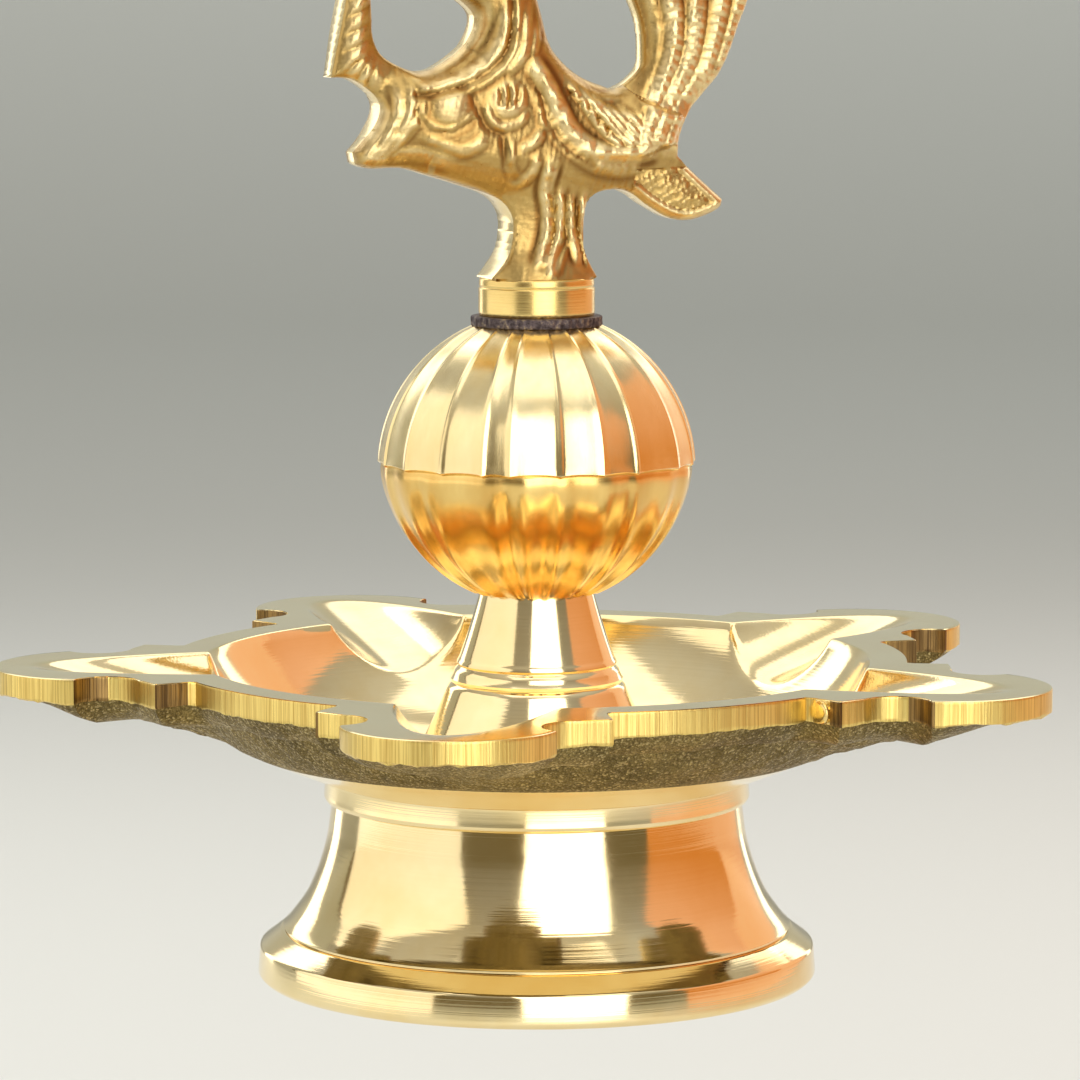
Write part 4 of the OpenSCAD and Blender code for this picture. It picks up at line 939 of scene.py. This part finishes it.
def bird():
    verts, skin, walls, relief = bird_figure()
    all_verts, faces = joined((verts, skin + walls), lathe(rounded(COLLAR), 0, 160), lathe(rounded(BOSS), 0, 96))
    kind = np.repeat((0, 1, 2), (len(skin), len(walls), len(faces) - len(skin) - len(walls)))
    relief = np.concatenate([relief, np.full(len(all_verts) - len(verts), 0.6)])
    all_verts[:, 2] += BIRD_Z
    piece("bird_cast", (all_verts, faces), "lamp", "bird", [CAST, BRUSHED, SATIN], kind, 45, relief)


# Chain, hook and eye


LINK_WIRE, LINK_W, RING_WIRE, RING_R = 2.2, 5.0, 2.6, 6.8
EYE_WIRE, EYE_W, EYE_L = 2.8, 6.0, 7.0
FLANGE = [(0.6, 0), (4, 0, 0.2), (4, 0.5, 0.1), (3.7, 0.7, 0.05), (4, 0.9, 0.1), (3.8, 1.4, 0.3), (2.2, 1.8, 0.4),
          (1.4, 2.6), (0.6, 2.6)]
STUD = [(0.6, -5.9), (1.7, -5.9), (1.95, -5.6), (1.95, 0.2), (0.6, 0.2)]
# The hook: wire, radius of its bends, their heights, the ball at its tip, and the loop below
HOOK_WIRE, HOOK_R, CROOK_Z, BEND_Z, TIP_R, LOOP_W, LOOP_L = 3.2, 12.6, -11, -32.824, 2.3, 6.2, 8.0
HOOK_COLLAR_Z = BEND_Z - 3
HOOK_COLLAR = [(0.5, 0.3), (2.2, 0.3, 0.2), (2.8, 0.9, 0.3), (2.8, 1.3, 0.2), (2.35, 1.5, 0.1), (2.8, 1.7, 0.2),
               (2.8, 2.3, 0.3), (2, 3.2, 0.2), (0.5, 3.2)]
X_AXIS, Y_AXIS = (1, 0, 0), (0, 1, 0)


def oval(width, length, thick, flat=2.0, step=0.25):
    """A closed oval path of x, z from the middle of its upper bow down, with points spaced evenly along it."""
    half, low = (width + thick) / 2, -length - thick
    corner = half - flat / 2
    side = [(half, -corner + (low + 2 * corner) * t) for t in np.linspace(0, 1, 12)[1:-1]]
    right = arc((flat / 2, -corner), corner, 90, 0, 12) + side + arc((flat / 2, low + corner), corner, 0, -90, 12)
    p = np.asarray(right + [(-x, z) for x, z in right[::-1]] + right[:1])
    s = run_length(p)
    at = np.linspace(0, s[-1], int(s[-1] / step), endpoint=False)
    return np.stack([np.interp(at, s, p[:, k]) for k in (0, 1)], -1)


def standing(path, z, sideways=False):
    """A path of x, z stood up in the XZ plane, or sideways in the YZ plane, hung from a height."""
    x, height = path.T
    flat = np.zeros(len(path))
    return np.stack([flat, x, height + z] if sideways else [x, flat, height + z], -1)


def butt_joint(path, thick, at):
    """Wire radius along a closed path, pinched where the wire's two ends meet."""
    gap = np.hypot(*(path - path[at]).T)
    return thick / 2 * (1 - 0.16 * np.exp(-((gap / 0.35) ** 2)))


def chain():
    low, high = span("chain_link_01")
    path = oval(LINK_W, high - low - 2 * LINK_WIRE, LINK_WIRE)
    for i in range(10):
        node = f"chain_link_{i + 1:02d}"
        sideways = i % 2 == 0
        hung = standing(path, span(node)[1] - LINK_WIRE / 2, sideways)
        radius = butt_joint(path, LINK_WIRE, len(path) // 4 if i % 3 else 3 * len(path) // 4)
        shell = wire(hung, radius, X_AXIS if sideways else Y_AXIS)
        piece(f"link_{i + 1:02d}_wire", shell, node, node, [WIRE])
    ring = RING_R * rays(circle(150))
    shell = wire(standing(ring, sum(span("suspension_ring")) / 2, True), butt_joint(ring, RING_WIRE, 10), X_AXIS, 24)
    piece("suspension_ring_wire", shell, "suspension_ring", "suspension_ring", [WIRE])


def hanging_eye():
    hung = standing(oval(EYE_W, EYE_L, EYE_WIRE), span("hanging_eye")[1] - EYE_WIRE / 2)
    shell = joined(wire(hung, EYE_WIRE / 2, Y_AXIS, 24), lathe(rounded(FLANGE), EYE_SEAT_Z, 96),
                   lathe(STUD, EYE_SEAT_Z, 48))
    piece("hanging_eye_turned", shell, "lamp", "hanging_eye", [WARM])


def top_hook():
    crook = np.asarray(arc((0, CROOK_Z), HOOK_R, 195, -60, 120) + arc((HOOK_R, BEND_Z), HOOK_R, 120, 180, 40)[1:])
    heading = crook[0] - crook[1]
    heading /= np.linalg.norm(heading)
    lead = TIP_R - 0.01
    path = np.concatenate([crook[0] + heading * np.linspace(lead, 0.2, 12)[:, None], crook])
    s = run_length(path) - lead
    ball = np.sqrt(np.maximum(TIP_R**2 - s**2, 0.01))
    share = np.clip((s - s[-1] + 20) / 10, 0, 1)
    rod = HOOK_WIRE / 2 + 0.5 * share * share * (3 - 2 * share)
    radius = np.where(s < 0, ball, np.maximum(ball * (s < TIP_R), rod))
    bend = wire(standing(path, 0), radius, Y_AXIS, 24, closed=False)
    loop = standing(oval(LOOP_W, LOOP_L, HOOK_WIRE), span("top_hook")[0] + HOOK_WIRE / 2 + LOOP_L + HOOK_WIRE)
    shell = joined(bend, lathe(rounded(HOOK_COLLAR), HOOK_COLLAR_Z, 96), wire(loop, HOOK_WIRE / 2, Y_AXIS, 24))
    piece("top_hook_wire", shell, "top_hook", "top_hook", [WIRE])


# Tie rod and its fastening

ROD_R, THREAD_L, THREAD_DEPTH, PITCH = 2.5, 13, 0.3, 0.8
NUT_HALF, NUT_H, NUT_EASE_R, NUT_MOUTH_R = 4.5, 4.0, 4.4, 3.4


def tie_rod():
    low, high = span("tie_rod")
    a = circle(48)
    z = np.concatenate([np.arange(low, low + THREAD_L + 1, 0.1), np.linspace(low + THREAD_L + 1, high, 40)])
    depth = np.where(z < low + THREAD_L, THREAD_DEPTH, 0) * np.clip((z - low) / 0.5 + 0.4, 0, 1)
    phase = (z[:, None] - low) / PITCH + a / (2 * math.pi)
    r = ROD_R - depth[:, None] * np.abs((phase % 1) * 2 - 1)
    r[z < low + 0.3] -= 0.25
    verts = ring_points([(r[i], a, z[i]) for i in range(len(z))])
    ends = [list(range(len(a)))[::-1], list(range(len(verts) - len(a), len(verts)))]
    faces = grid_faces(len(z), len(a)).tolist() + ends
    piece("tie_rod_threaded", (verts, faces), "lamp", "tie_rod", [STEEL])


def nut_washer():
    profile = rounded([(BORE_R, 0), (8, 0, 0.2), (8, 1.2, 0.2), (BORE_R, 1.2)])
    piece("nut_washer_flat", lathe(profile, span("nut_washer")[0], 128), "lamp", "nut_washer", [STEEL])


def nut():
    low, high = span("nut")
    a = circle(96)
    side = NUT_HALF / np.cos((a % (math.pi / 3)) - math.pi / 6)
    rows = [(BORE_R, a, low), (NUT_MOUTH_R, a, low)]
    for z in (0, 0.12, 0.24, 0.36, 0.5, 2.0, 3.5, 3.64, 3.76, 3.88, 4.0):
        rows.append((np.minimum(side, NUT_EASE_R + 1.73 * min(z, NUT_H - z)), a, low + z))
    rows += [(NUT_MOUTH_R, a, high), (BORE_R, a, high)]
    shell = closed_rows(ring_points(rows), len(rows))
    piece("nut_hexagon", shell, "lamp", "nut", [STEEL])


# Stage


# The photograph's view, fitted to it: turn about the lamp's axis, pitch, distance and height above the foot in metres,
# how far the axis is left of the middle, and focal length and width in picture points
TURN, VIEW_PITCH, DISTANCE, VIEW_H, ASIDE = math.radians(-18), math.radians(6.73), 0.596, 0.1230, 0.0004
FOCAL, PICTURE_W, SENSOR_W = 5000, 1080, 36.0
# The floor: drop below the foot, how far it runs each way, its sweep up into the backdrop, and the backdrop's height
FLOOR_DROP, FLOOR_NEAR, FLOOR_FAR, FLOOR_HALF, SWEEP_R, BACK_H = 0.16, -6.0, 3.2, 8.0, 1.6, 5.0
AIM = Vector((0, 0, -0.29))
# Soft boxes: place to the right, away and up as the camera sees it, width and height, glow and colour
WHITE = (1.0, 1.0, 1.0)
LAMPS = {
    "left_wall": ((-1.25, -0.25, -0.05), (2.0, 1.5), 0.95, (1.0, 0.98, 0.94)),
    "front_window": ((0.36, -1.30, 0.12), (1.15, 1.5), 2.7, WHITE),
    "warm_right": ((1.2, 0.3, -0.15), (2.2, 1.6), 0.55, (1.0, 0.27, 0.0)),
    "left_strip": ((-0.71, 0.97, 0.15), (0.3, 1.6), 1.8, WHITE),
    "right_strip": ((0.62, 1.15, 0.15), (0.18, 1.4), 1.6, WHITE),
    "back_top": ((0.1, 1.0, 0.55), (1.4, 0.7), 1.1, WHITE),
    "overhead": ((0.0, -0.1, 0.95), (1.3, 1.3), 1.0, WHITE),
}
# Colours of the room from below to above
SKY = ((0.3, (0.19, 0.145, 0.08)), (0.53, (0.165, 0.135, 0.075)), (0.77, (0.36, 0.35, 0.33)), (1.0, (0.75, 0.75, 0.74)))


def in_view(x, y, z):
    """A place or direction given to the right, away and up as the camera sees it."""
    return Matrix.Rotation(TURN, 3, "Z") @ Vector((x, y, z))


def set_up(name, data, place, look):
    """An object at a place that looks along a direction."""
    obj = bpy.data.objects.new(name, data)
    obj.location = place
    obj.rotation_mode = "QUATERNION"
    obj.rotation_quaternion = look.to_track_quat("-Z", "Y")
    bpy.context.collection.objects.link(obj)
    return obj


def stage():
    """A pale floor swept up into a backdrop, which is a little brighter to the camera and in the brass."""
    floor_z = FOOT_Z * MM - FLOOR_DROP
    sweep = arc((FLOOR_FAR, SWEEP_R), SWEEP_R, -90, 0, 24)
    profile = [(FLOOR_NEAR, 0), *sweep, (FLOOR_FAR + SWEEP_R, BACK_H)]
    verts = [in_view(x, y, floor_z + z) for y, z in profile for x in (-FLOOR_HALF, FLOOR_HALF)]
    faces = [(2 * i, 2 * i + 1, 2 * i + 3, 2 * i + 2) for i in range(len(profile) - 1)]
    n = material("pale_floor")
    height = n.math("SUBTRACT", n.split()[2], floor_z)
    pale = n.ramp(n.math("MULTIPLY", height, 0.6), (0.0, 0.0), (0.35, 0.22))
    ray = n.make("ShaderNodeLightPath")
    glow = n.math("MULTIPLY", pale, n.math("MAXIMUM", ray["Is Camera Ray"], ray["Is Glossy Ray"]))
    n.finish((0.72, 0.74, 0.70), 0.85, metal=0.0, glow=glow, glow_colour=(0.95, 1.0, 0.94))
    mesh_object("floor_sweep", verts, faces, [n.owner])


def lights():
    world = bpy.data.worlds.new("studio")
    bpy.context.scene.world = world
    n = Nodes(world, "Generated")
    sky = n.ramp(n.math("MULTIPLY_ADD", n.split()[2], 0.5, 0.5), *SKY)
    n.feed(n.tree.nodes["Background"].inputs["Color"], sky)
    for name, (place, size, glow, colour) in LAMPS.items():
        data = bpy.data.lights.new(name, "AREA")
        data.shape, data.size, data.size_y = "RECTANGLE", *size
        data.energy, data.color = glow * math.pi * size[0] * size[1], colour
        set_up(name, data, in_view(*place), AIM - in_view(*place)).visible_camera = False


def camera():
    data = bpy.data.cameras.new("camera")
    data.sensor_fit, data.sensor_width, data.lens = "HORIZONTAL", SENSOR_W, FOCAL / PICTURE_W * SENSOR_W
    data.clip_start, data.clip_end = 0.01, 50
    place = in_view(ASIDE, -DISTANCE, FOOT_Z * MM + VIEW_H)
    look = in_view(0, math.cos(VIEW_PITCH), -math.sin(VIEW_PITCH))
    bpy.context.scene.camera = set_up("camera", data, place, look)


for build in (foot, dish, stem, ball, neck_washer, bird, chain, hanging_eye, top_hook, tie_rod, nut_washer, nut,
              stage, lights, camera):
    build()
bpy.context.scene.view_settings.view_transform = "Standard"

bpy.context.view_layer.update()
